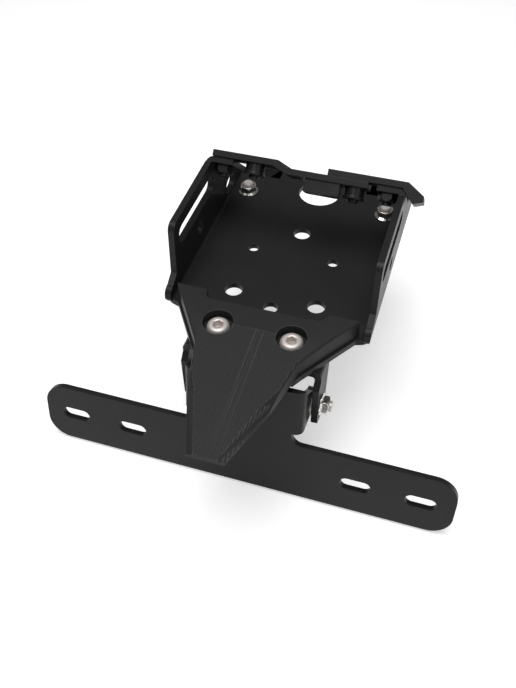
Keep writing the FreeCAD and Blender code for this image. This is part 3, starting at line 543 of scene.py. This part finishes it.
@dataclass
class NoseWedge:
    """Machined wedge: horns, counterbores, sloping flanks and a sloping nose with tool lines."""

    finishes: FinishSet
    high: float = 9.5
    crease_y: float = -29.7
    tip_y: float = -94.6
    tip_high: float = 1.9
    tip_half: float = 8.1
    shoulder: tuple[float, float] = (17.9, -66.2)
    waist: tuple[float, float] = (23.2, -42.4)
    horn_in: float = 27.6
    horn_out: float = 43.4
    rear: float = -11.7
    recess_y: float = -17.0
    recess_fillet: float = 3.0
    corner: float = 2.0
    corner_share: float = 0.3
    horn_round: float = 1.5
    horn_cut: float = 0.44
    fillet_steps: int = 7
    rim_round: float = 1.15
    rim_segments: int = 12
    rim_low: float = 1.0
    rim_margin: float = 0.1
    upright: float = 0.1
    level: float = 0.9
    flank_wide: float = 3.1
    flank_base_tip: float = 0.35
    flank_base_shoulder: float = 2.3
    flank_end: tuple[float, float] = (20.6, -54.0)
    flank_overrun: float = 4.0
    flank_out: float = 8.0
    flank_up: float = 15.0
    screw: tuple[float, float] = (16.8, -30.2)
    bore_wide: float = 13.8
    bore_floor: float = 4.6
    hole_wide: float = 6.4
    hole_segments: int = 64
    past: float = 3.0
    clear: float = 0.01
    line_pitch: float = 1.2
    line_wide: float = 0.9
    line_deep: float = 0.10
    line_short: float = 0.4
    step_deep: float = 0.14
    step_overrun: float = 1.3
    merge: float = 0.004
    smooth_deg: float = 9.0

    def outline(self) -> list[tuple[float, float]]:
        """Draw the wedge as it is seen from above.

        Returns:
            The corners, round from the tip's right one.
        """
        lower = self.rear - self.corner
        low_x = self.waist[0] + (lower - self.waist[1]) * self.side_slope()
        cut = self.corner_share * self.corner
        right = [(self.tip_half, self.tip_y), self.shoulder, self.waist, (low_x, lower),
                 (self.horn_out - cut, self.rear - cut), (self.horn_out - self.corner, self.rear),
                 (self.horn_in + self.horn_round, self.rear),
                 (self.horn_in + self.horn_cut, self.rear - self.horn_cut),
                 (self.horn_in, self.rear - self.horn_round)]
        r = self.recess_fillet
        centre = (self.horn_in - r, self.recess_y + r)
        for i in range(1, self.fillet_steps):
            turn = -math.pi / 2 * i / self.fillet_steps
            right.append((centre[0] + r * math.cos(turn), centre[1] + r * math.sin(turn)))
        right.append((self.horn_in - r, self.recess_y))
        return right + [(-x, y) for x, y in reversed(right)]

    def side_slope(self) -> float:
        """Return how far the side runs out for each millimetre towards the horn."""
        return (self.horn_out - self.waist[0]) / (self.rear - self.waist[1])

    def slope(self) -> float:
        """Return the fall of the nose for each millimetre forwards."""
        return (self.high - self.tip_high) / (self.crease_y - self.tip_y)

    def top_at(self, y: float) -> float:
        """Return the height of the nose's top at a place along it."""
        return self.high - self.slope() * (self.crease_y - y)

    def nose_normal(self) -> Vector:
        """Return the direction that the nose's top looks in."""
        return Vector((0, -self.slope(), 1)).normalized()

    def on_rim(self, edge: bmesh.types.BMEdge) -> bool:
        """Tell whether an edge of the blank gets the cutter's rounding.

        Args:
            edge: An edge of the blank.

        Returns:
            True where a side meets the top, from the shoulders to the horns.
        """
        if len(edge.link_faces) != 2:
            return False
        lifts = sorted(abs(face.normal.z) for face in edge.link_faces)
        lowest = min(v.co.z for v in edge.verts)
        foremost = min(v.co.y for v in edge.verts)
        return (lifts[0] < self.upright and lifts[1] > self.level and lowest > self.rim_low
                and foremost > self.shoulder[1] - self.rim_margin)

    def blank(self) -> bpy.types.Mesh:
        """Make the body before its flanks, bores and lines are cut.

        Returns:
            The body with its sloping nose and rounded upper edges.
        """
        bm = bmesh.new()
        MeshTools.extrude(bm, self.outline(), 0.0, self.high)
        cut = bmesh.ops.bisect_plane(
            bm, geom=bm.verts[:] + bm.edges[:] + bm.faces[:], clear_outer=True,
            plane_co=(0, self.crease_y, self.high), plane_no=self.nose_normal())
        edges = [e for e in cut["geom_cut"] if isinstance(e, bmesh.types.BMEdge)]
        bmesh.ops.contextual_create(bm, geom=edges)
        bmesh.ops.recalc_face_normals(bm, faces=bm.faces)
        rim = [edge for edge in bm.edges if self.on_rim(edge)]
        bmesh.ops.bevel(bm, geom=rim, offset=self.rim_round, segments=self.rim_segments,
                        profile=0.5, affect="EDGES", clamp_overlap=False)
        return MeshTools.finish(bm, "nose_wedge_detail")

    def flank_cutter(self, sign: int) -> bpy.types.Mesh:
        """Make the body that cuts the sloping flank beside the nose.

        Args:
            sign: 1 for the right flank, -1 for the left one.

        Returns:
            A convex mesh that reaches past the wedge on its outer sides.
        """
        tip = Vector((self.tip_half + self.clear, self.tip_y))
        shoulder = Vector(self.shoulder) + Vector((self.clear, 2 * self.clear))
        end = Vector(self.flank_end)
        along = (shoulder - tip).normalized()
        inward = Vector((-along.y, along.x))
        points = []
        for place, base in ((tip - along * self.flank_overrun, self.flank_base_tip),
                            (shoulder, self.flank_base_shoulder)):
            inner = place + inward * self.flank_wide
            points.append((inner.x, inner.y, self.top_at(inner.y)))
            points.append((place.x, place.y, base))
        points.append((end.x, end.y, self.top_at(end.y)))
        outer = inward * self.flank_out
        points += [(x - outer.x, y - outer.y, z) for x, y, z in points[1::2]]
        points += [(x, y, z + self.flank_up) for x, y, z in points]
        bm = bmesh.new()
        verts = [bm.verts.new((sign * x, y, z)) for x, y, z in points]
        hull = bmesh.ops.convex_hull(bm, input=verts)
        spare = [v for v in hull["geom_interior"] if isinstance(v, bmesh.types.BMVert)]
        bmesh.ops.delete(bm, geom=spare, context="VERTS")
        return MeshTools.finish(bm, "flank_cutter")

    def round_cutter(self, x: float, wide: float, low: float) -> bpy.types.Mesh:
        """Make a cylinder for a hole or a counterbore.

        Args:
            x: Place of its axis across the wedge.
            wide: Its diameter.
            low: Height of its lower end.

        Returns:
            A cylinder that ends above the wedge.
        """
        r = wide / 2
        ring = []
        for i in range(self.hole_segments):
            turn = 2 * math.pi * i / self.hole_segments
            ring.append((x + r * math.cos(turn), self.screw[1] + r * math.sin(turn)))
        return MeshTools.prism("bore", ring, low, self.high + self.past)

    def groove_cutter(self, name: str, deep: float, rise: float, y: float, z: float,
                      ahead: float, behind: float) -> bpy.types.Object:
        """Return a V-shaped bar that lies on a surface.

        Args:
            name: The bar's name.
            deep: Depth of the groove.
            rise: How far the surface rises for each millimetre along Y.
            y: Place of the bar's middle.
            z: Height of the surface there.
            ahead: Length in front of the middle.
            behind: Length behind the middle.

        Returns:
            The bar's object.
        """
        bm = bmesh.new()
        wide = self.line_wide
        rows = []
        for step in (-ahead, behind):
            height = z + rise * step
            rows.append([bm.verts.new(p) for p in (
                (-wide / 2, y + step, height + self.clear), (0, y + step, height - deep),
                (wide / 2, y + step, height + self.clear), (0, y + step, height + deep))])
        for i in range(len(rows[0])):
            j = (i + 1) % len(rows[0])
            bm.faces.new((rows[0][i], rows[0][j], rows[1][j], rows[1][i]))
        bm.faces.new(rows[0])
        bm.faces.new(rows[1])
        return MeshTools.obj(name, MeshTools.finish(bm, name))

    def step_flank(self, wedge: bpy.types.Object, tree: bpy.types.NodeTree,
                   material: bpy.types.Material) -> bpy.types.Object:
        """Cut the coarse steps that the cutter left across the right flank.

        Args:
            wedge: The wedge's object.
            tree: The tree that cuts a row of grooves.
            material: The wedge's material.

        Returns:
            The cutter, which goes once the wedge is baked.
        """
        tip = Vector((self.tip_half, self.tip_y))
        edge = Vector(self.shoulder) - tip
        middle = tip + Vector((-edge.y, edge.x)).normalized() * self.flank_wide / 2
        low = (self.top_at(middle.y) + self.flank_base_tip) / 2
        high = (self.top_at(middle.y + edge.y) + self.flank_base_shoulder) / 2
        reach = self.flank_wide / 2 * edge.length / edge.x
        fall = (self.top_at(middle.y + reach) - low) / reach
        start_x = self.line_pitch * math.ceil(middle.x / self.line_pitch)
        ahead = (start_x - middle.x) / edge.x
        span = reach * self.step_overrun
        bar = self.groove_cutter("step_bar", self.step_deep, fall, middle.y + edge.y * ahead,
                                 low + (high - low) * ahead, span, span)
        share = self.line_pitch / edge.x
        NodeSet.apply(wedge, tree, Cutter=bar, Count=int(1 / share) + 1,
                      Start=(start_x, 0.0, 0.0), Material=material,
                      Step=(self.line_pitch, edge.y * share, (high - low) * share))
        return bar

    def build(self) -> bpy.types.Object:
        """Make the wedge and let it stand for its CAD node.

        Returns:
            The wedge's object.
        """
        wedge = MeshTools.obj("nose_wedge_machined", self.blank())
        cutters = [self.flank_cutter(-1), self.flank_cutter(1)]
        for x in (-self.screw[0], self.screw[0]):
            cutters.append(self.round_cutter(x, self.bore_wide, self.bore_floor))
            cutters.append(self.round_cutter(x, self.hole_wide, -self.past))
        MeshTools.cut(wedge, cutters)
        material = self.finishes.by_slot[Slot.ANODISED]
        tree = NodeSet.grooves()
        middle = (self.crease_y + self.tip_y) / 2
        reach = (self.crease_y - self.tip_y) / 2
        bar = self.groove_cutter("line_bar", self.line_deep, self.slope(), middle,
                                 self.top_at(middle), reach + self.past,
                                 reach - self.line_short)
        count = 2 * int(self.waist[0] / self.line_pitch) + 1
        NodeSet.apply(wedge, tree, Cutter=bar, Count=count,
                      Start=(-self.line_pitch * (count - 1) / 2, 0.0, 0.0),
                      Step=(self.line_pitch, 0.0, 0.0), Material=material)
        bars = [bar, self.step_flank(wedge, tree, material)]
        MeshTools.bake(wedge)
        MeshTools.tidy(wedge.data, self.merge)
        MeshTools.soften(wedge.data, self.smooth_deg, self.nose_normal())
        for spare in bars:
            bpy.data.objects.remove(spare)
        MeshTools.to_metres(wedge.data)
        self.finishes.dress(wedge, Slot.ANODISED)
        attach(wedge, "carrier")
        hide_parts("nose_wedge")
        return wedge


@dataclass(frozen=True)
class BoltSize:
    """Main sizes of a button-head bolt. threaded is the length of thread at its end."""

    head: float
    head_high: float
    key: float
    thread: float
    grip: float
    threaded: float


@dataclass(frozen=True)
class NutSize:
    """Main sizes of a flange nut. rim is its flange and flat is across the hexagon."""

    rim: float
    rim_high: float
    flat: float
    high: float
    bore: float


WEDGE_SCREW = BoltSize(head=10.5, head_high=3.3, key=4.0, thread=6.0, grip=19.7, threaded=9.0)
FLOOR_BOLT = BoltSize(head=9.5, head_high=2.75, key=3.0, thread=5.0, grip=8.7, threaded=5.5)
FLANGE_NUT = NutSize(rim=10.6, rim_high=1.0, flat=8.0, high=4.2, bore=5.0)


@dataclass
class Hardware:
    """Button-head bolts and flange nuts, turned once and set at each place."""

    finishes: FinishSet
    copies: bpy.types.NodeTree = field(default_factory=NodeSet.placed_copies)
    wedge_screw_at: tuple[float, float, float] = (16.8, -30.2, 4.6)
    floor_bolt_at: tuple[float, float, float] = (37.0, 74.3, -3.0)
    floor_nut_at: tuple[float, float, float] = (37.0, 74.3, 0.0)
    hinge_nut_at: tuple[float, float, float] = (32.3, -34.0, -26.5)
    screw_turn: float = math.radians(8)
    nut_turn: float = math.radians(20)
    smooth_deg: float = 32.0
    segments: int = 48
    thread_pitch: float = 0.8
    thread_share: float = 0.4
    thread_root: tuple[float, float] = (0.45, 0.55)
    thread_end: float = 0.3
    end_chamfer: float = 0.5
    socket_share: float = 0.85
    socket_cone: float = 0.9
    socket_ring: float = 1.2
    socket_lip: float = 0.30
    lip_round: tuple[float, float] = (0.06, 0.15)
    crown_flat: float = 0.45
    head_steps: int = 8
    head_rim: float = 0.22
    seat_chamfer: float = 0.12
    bore_chamfer: float = 0.4
    flange_edge: tuple[tuple[float, float], ...] = ((0.0, 0.15), (0.25, 0.0), (0.5, 0.05))
    neck_high: float = 0.3
    neck_share: float = 1.01
    nut_steps: int = 5
    nut_chamfer: float = 0.75
    nut_inset: float = 0.2

    def circle(self, z: float, radius: float, hexagon: float = 0.0) -> list[Vector]:
        """Draw a ring, held inside a hexagon where one is given.

        Args:
            z: The ring's height.
            radius: The ring's radius.
            hexagon: Half the hexagon's width across its flats, or 0 for none.

        Returns:
            The ring's points.
        """
        points = []
        for i in range(self.segments):
            turn = 2 * math.pi * i / self.segments
            reach = radius
            if hexagon:
                off = (turn + math.pi / 6) % (math.pi / 3) - math.pi / 6
                reach = min(radius, hexagon / math.cos(off))
            points.append(Vector((reach * math.cos(turn), reach * math.sin(turn), z)))
        return points

    def bolt(self, name: str, size: BoltSize) -> bpy.types.Mesh:
        """Turn a button-head bolt with a hexagon socket.

        Args:
            name: The mesh's name.
            size: The bolt's sizes.

        Returns:
            The bolt with its head's seat at z 0 and its thread pointing down.
        """
        half = size.key / 2
        corner = half / math.cos(math.pi / 6)
        top = size.head_high
        floor = top - top * self.socket_share
        wide = half * self.socket_ring
        crown = corner + self.crown_flat
        rows = [[Vector((0, 0, floor - half * self.socket_cone))],
                self.circle(floor, wide, half),
                self.circle(top - self.socket_lip, wide, half),
                self.circle(top - self.lip_round[0], corner + self.lip_round[1]),
                self.circle(top, crown)]
        edge, radius = top * self.head_rim, size.head / 2
        for i in range(1, self.head_steps + 1):
            out = math.sin(math.pi / 2 * i / self.head_steps)
            rows.append(self.circle(edge + (top - edge) * (1 - out ** 3) ** 0.5,
                                    crown + (radius - crown) * out))
        stem = size.thread / 2
        z = size.threaded - size.grip
        rows += [self.circle(self.seat_chamfer, radius),
                 self.circle(0, radius - self.seat_chamfer),
                 self.circle(0, stem), self.circle(z, stem)]
        pitch = self.thread_pitch
        root = stem - pitch * self.thread_share
        while z - pitch > self.thread_end - size.grip:
            rows += [self.circle(z - pitch * share, root) for share in self.thread_root]
            rows.append(self.circle(z - pitch, stem))
            z -= pitch
        rows += [self.circle(-size.grip, stem - self.end_chamfer),
                 [Vector((0, 0, -size.grip))]]
        return MeshTools.rings(name, rows, False)

    def nut(self, name: str, size: NutSize) -> bpy.types.Mesh:
        """Turn a flange nut with chamfered corners.

        Args:
            name: The mesh's name.
            size: The nut's sizes.

        Returns:
            The nut with its flange's seat at z 0.
        """
        half = size.flat / 2
        corner = half / math.cos(math.pi / 6)
        bore, rim = size.bore / 2, size.rim / 2
        rows = [self.circle(0, bore + self.bore_chamfer)]
        rows += [self.circle(z, rim - inset) for z, inset in self.flange_edge]
        rows.append(self.circle(size.rim_high + self.neck_high, corner * self.neck_share, half))
        for i in range(self.nut_steps + 1):
            share = i / self.nut_steps
            rows.append(self.circle(size.high - self.nut_chamfer + self.nut_chamfer * share,
                                    corner - (corner - half + self.nut_inset) * share, half))
        rows += [self.circle(size.high, bore + self.bore_chamfer),
                 self.circle(size.high - self.bore_chamfer, bore),
                 self.circle(self.bore_chamfer, bore)]
        return MeshTools.rings(name, rows, True)

    def place(self, name: str, part: bpy.types.Mesh, places: list[tuple[float, float, float]],
              turn: tuple[float, float, float], nodes: list[str],
              material: bpy.types.Material) -> bpy.types.Object:
        """Put copies of a part at places and let them stand for CAD nodes.

        Args:
            name: The row's name.
            part: The part's mesh in millimetres.
            places: Where the part's own origin goes, in millimetres.
            turn: The part's turn in radians.
            nodes: CAD nodes that the row replaces.
            material: The part's material.

        Returns:
            The baked row.
        """
        MeshTools.to_metres(part)
        model = MeshTools.obj(name + "_model", part)
        points = bpy.data.meshes.new(name)
        points.from_pydata([tuple(c * MM for c in p) for p in places], [], [])
        row = MeshTools.obj(name, points)
        NodeSet.apply(row, self.copies, Part=model, Turn=turn, Material=material)
        MeshTools.bake(row)
        MeshTools.soften(row.data, self.smooth_deg)
        bpy.data.objects.remove(model)
        MeshTools.paint(row, material)
        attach(row, "carrier")
        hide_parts(*nodes)
        return row

    @staticmethod
    def both_sides(place: tuple[float, float, float]) -> list[tuple[float, float, float]]:
        """Return the left and the right one of a pair of places."""
        return [(-place[0], *place[1:]), place]

    def build(self) -> int:
        """Make the bolts and nuts that show.

        Returns:
            How many rows of them were made.
        """
        dull = self.finishes.by_slot[Slot.STAINLESS]
        bright = self.finishes.bright
        rows = [
            self.place("wedge_screws", self.bolt("wedge_screw", WEDGE_SCREW),
                       self.both_sides(self.wedge_screw_at), (0, 0, self.screw_turn),
                       ["wedge_screw_left", "wedge_screw_right"], dull),
            self.place("floor_bolts", self.bolt("floor_bolt", FLOOR_BOLT),
                       self.both_sides(self.floor_bolt_at), (math.pi, 0, 0),
                       ["floor_bolt_left", "floor_bolt_right"], dull),
            self.place("floor_nuts", self.nut("floor_nut", FLANGE_NUT),
                       self.both_sides(self.floor_nut_at), (0, 0, self.nut_turn),
                       ["floor_nut_left", "floor_nut_right"], bright),
            self.place("hinge_nut_shown", self.nut("hinge_nut", FLANGE_NUT),
                       [self.hinge_nut_at], (0, math.pi / 2, 0), ["hinge_nut_right"], bright)]
        return len(rows)


@dataclass
class RearEnd:
    """The right strap with its wing and the rear lip of the floor."""

    finishes: FinishSet
    slope_deg: float = 43.0
    slope_y: float = 47.8
    slope_z: float = 38.2
    sheet: float = 3.0
    run: tuple[float, float] = (-1.0, 12.0)
    start_x: float = 11.4
    wing: tuple[tuple[float, float], ...] = (
        (46.6, 0.0), (52.8, -6.3), (57.3, -4.8), (56.9, -2.1), (49.0, 3.0))
    hole_runs: tuple[tuple[float, float], ...] = ((40.2, 6.0), (24.7, 5.0))
    hole: float = 5.4
    hole_segments: int = 40
    sink: float = 9.2
    sink_deep: float = 2.1
    sink_neck: float = 0.3
    past: float = 1.0
    lip: tuple[float, float] = (89.2, 99.1)
    lip_half: tuple[float, float] = (23.9, 44.5)
    lip_corner: float = 3.0
    smooth_deg: float = 30.0

    def slope_frame(self) -> Matrix:
        """Find the frame of the flanges' sloping rear edges.

        Returns:
            A frame whose axes run across, along the slope and off it.
        """
        turn = math.radians(self.slope_deg)
        along = Vector((0, math.cos(turn), -math.sin(turn)))
        off = Vector((0, math.sin(turn), math.cos(turn)))
        frame_of = Matrix((Vector((1, 0, 0)), along, off)).transposed().to_4x4()
        return Matrix.Translation((0, self.slope_y, self.slope_z)) @ frame_of

    def hole_cutter(self, x: float, run: float) -> bpy.types.Mesh:
        """Make the cutter for a countersunk hole in the strap.

        Args:
            x: Place of the hole across the strap.
            run: Its place along the slope.

        Returns:
            A closed mesh that reaches past both sides of the sheet.
        """
        top = self.sheet + self.past
        rows = [[Vector((x, run, top))]]
        for z, wide in ((top, self.sink + 2 * self.past),
                        (self.sheet - self.sink_deep, self.hole - self.sink_neck),
                        (-self.past, self.hole)):
            turns = [2 * math.pi * i / self.hole_segments for i in range(self.hole_segments)]
            rows.append([Vector((x + wide / 2 * math.cos(turn),
                                 run + wide / 2 * math.sin(turn), z)) for turn in turns])
        rows.append([Vector((x, run, -self.past))])
        cutter = MeshTools.rings("strap_hole", rows, False)
        cutter.transform(self.slope_frame())
        return cutter

    def strap(self) -> bpy.types.Object:
        """Make the right strap and its wing.

        Returns:
            The strap's object.
        """
        outline = [(self.start_x, 0.0), *self.wing, (self.start_x, self.sheet)]
        # The outline's second axis runs off the slope, so it changes places with the third.
        side = Matrix(((1, 0, 0, 0), (0, 0, 1, 0), (0, 1, 0, 0), (0, 0, 0, 1)))
        mesh = MeshTools.prism("rear_strap_right_folded", outline, self.run[0], self.run[1],
                               self.slope_frame() @ side)
        strap = MeshTools.obj("rear_strap_right_folded", mesh)
        MeshTools.cut(strap, [self.hole_cutter(x, run) for x, run in self.hole_runs])
        return strap

    def lips(self) -> bpy.types.Object:
        """Make the floor's rear lip on both sides of the tongue.

        Returns:
            The lips' object.
        """
        low, high = self.lip
        inner, outer = self.lip_half
        corners = [(inner, low), (outer, low), (outer, high - self.lip_corner),
                   (outer - self.lip_corner, high), (inner, high)]
        bm = bmesh.new()
        for sign in (-1, 1):
            MeshTools.extrude(bm, [(sign * x, y) for x, y in corners], -self.sheet, 0.0)
        return MeshTools.obj("floor_rear_lip", MeshTools.finish(bm, "floor_rear_lip"))

    def build(self) -> int:
        """Make both pieces.

        Returns:
            How many pieces were made.
        """
        strap, lips = self.strap(), self.lips()
        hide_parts("rear_strap_right")
        for obj in (strap, lips):
            MeshTools.to_metres(obj.data)
            MeshTools.soften(obj.data, self.smooth_deg)
            self.finishes.dress(obj, Slot.COAT)
            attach(obj, "carrier")
        return len((strap, lips))


@dataclass
class CadPieces:
    """The CAD nodes whose shapes are right: they only get their finishes."""

    finishes: FinishSet

    def build(self) -> int:
        """Dress every CAD node.

        Returns:
            How many nodes were dressed.
        """
        slots = {row["node"]: row["material_slot"] for row in frame["record"]["subparts"]}
        for name, obj in frame["nodes"].items():
            self.finishes.dress(obj, Slot(slots[name]))
        return len(slots)


@dataclass(frozen=True)
class Lamp:
    """A square area lamp. side is in metres and power in watts."""

    name: str
    place: tuple[float, float, float]
    side: float
    power: float

    def build(self) -> None:
        """Add the lamp, facing the object."""
        data = bpy.data.lights.new(self.name, "AREA")
        data.size = self.side
        data.energy = self.power
        lamp = bpy.data.objects.new(self.name, data)
        lamp.location = self.place
        lamp.rotation_euler = (-Vector(self.place)).to_track_quat("-Z", "Y").to_euler()
        bpy.context.scene.collection.objects.link(lamp)


@dataclass
class Lighting:
    """A large softbox overhead, a weak lamp at the right and a dim world."""

    world_strength: float = 0.13
    lamps: tuple[Lamp, ...] = (Lamp("softbox", (-0.05, -0.06, 0.72), side=0.60, power=4.9),
                               Lamp("fill", (0.75, -0.55, 0.35), side=0.50, power=1.1))

    def build(self) -> None:
        """Make the world and the lamps."""
        world = bpy.data.worlds.new("studio")
        bpy.context.scene.world = world
        world.use_nodes = True
        ground = world.node_tree.nodes["Background"]
        ground.inputs["Color"].default_value = (1.0, 1.0, 1.0, 1.0)
        ground.inputs["Strength"].default_value = self.world_strength
        for lamp in self.lamps:
            lamp.build()


@dataclass
class Floor:
    """The plain white floor that takes the soft shadow.

    lift is the light that it adds for the camera and for reflections only.
    """

    below: float = 0.001
    half: float = 3.0
    shade: float = 0.90
    roughness: float = 0.9
    lift: float = 0.52

    def build(self) -> None:
        """Make the floor just under the object's lowest point."""
        z = CAD_BOX[0][2] - self.below
        mesh = bpy.data.meshes.new("floor")
        h = self.half
        mesh.from_pydata([(-h, -h, z), (h, -h, z), (h, h, z), (-h, h, z)], [], [(0, 1, 2, 3)])
        floor = bpy.data.objects.new("floor", mesh)
        bpy.context.scene.collection.objects.link(floor)
        material = bpy.data.materials.new("white_floor")
        material.use_nodes = True
        shader = material.node_tree.nodes["Principled BSDF"]
        shader.inputs["Base Color"].default_value = (self.shade, self.shade, self.shade, 1.0)
        shader.inputs["Roughness"].default_value = self.roughness
        shader.inputs["Specular IOR Level"].default_value = 0.0
        nodes = Nodes(material.node_tree)
        glow = nodes.add("ShaderNodeEmission")
        lift = nodes.add("ShaderNodeAddShader")
        mix = nodes.add("ShaderNodeMixShader")
        glow.inputs["Strength"].default_value = self.lift
        nodes.join(shader.outputs["BSDF"], lift.inputs[0])
        nodes.join(glow.outputs["Emission"], lift.inputs[1])
        rays = nodes.add("ShaderNodeLightPath").outputs
        seen = rays["Is Camera Ray"]
        for ray in ("Is Glossy Ray", "Is Transmission Ray"):
            either = nodes.add("ShaderNodeMath", operation="MAXIMUM")
            nodes.join(seen, either.inputs[0])
            nodes.join(rays[ray], either.inputs[1])
            seen = either.outputs["Value"]
        nodes.join(seen, mix.inputs["Fac"])
        nodes.join(shader.outputs["BSDF"], mix.inputs[1])
        nodes.join(lift.outputs["Shader"], mix.inputs[2])
        out = material.node_tree.nodes["Material Output"]
        nodes.join(mix.outputs["Shader"], out.inputs["Surface"])
        mesh.materials.append(material)


@dataclass
class Camera:
    """The photograph's camera, solved from the edges and holes that show in it."""

    azimuth: float = math.radians(18.58)
    elevation: float = math.radians(47.85)
    roll: float = math.radians(-1.32)
    place: Vector = field(default_factory=lambda: Vector((0.0760, -0.2518, 0.2586)))
    focal_px: float = 789.07
    frame_high: float = 688.0
    sensor: float = 36.0
    clip: tuple[float, float] = (0.01, 20.0)

    def build(self) -> None:
        """Make the camera and make it the scene's."""
        ahead = Vector((-math.sin(self.azimuth) * math.cos(self.elevation),
                        math.cos(self.azimuth) * math.cos(self.elevation),
                        -math.sin(self.elevation)))
        level = Vector((math.cos(self.azimuth), math.sin(self.azimuth), 0.0))
        top = level.cross(ahead)
        right = math.cos(self.roll) * level + math.sin(self.roll) * top
        up = -math.sin(self.roll) * level + math.cos(self.roll) * top
        data = bpy.data.cameras.new("camera")
        data.sensor_width = self.sensor
        data.lens = self.focal_px * self.sensor / self.frame_high
        data.clip_start, data.clip_end = self.clip
        camera = bpy.data.objects.new("camera", data)
        turn = Matrix((right, up, -ahead)).transposed().to_4x4()
        camera.matrix_world = Matrix.Translation(self.place) @ turn
        bpy.context.scene.collection.objects.link(camera)
        bpy.context.scene.camera = camera


def write_sizes() -> None:
    """Update the view layer; nothing is written."""
    bpy.context.view_layer.update()


def main() -> None:
    """Build the finishes and pieces in order, then the studio."""
    logging.basicConfig(level=logging.INFO)
    bpy.context.scene.view_settings.view_transform = "Standard"
    finishes = FinishSet()
    log.info("CAD nodes dressed: %d", CadPieces(finishes).build())
    log.info("made %s", NoseWedge(finishes).build().name)
    log.info("rows of bolts and nuts: %d", Hardware(finishes).build())
    log.info("rear pieces: %d", RearEnd(finishes).build())
    Lighting().build()
    Floor().build()
    Camera().build()
    write_sizes()


if __name__ == "__main__":
    main()
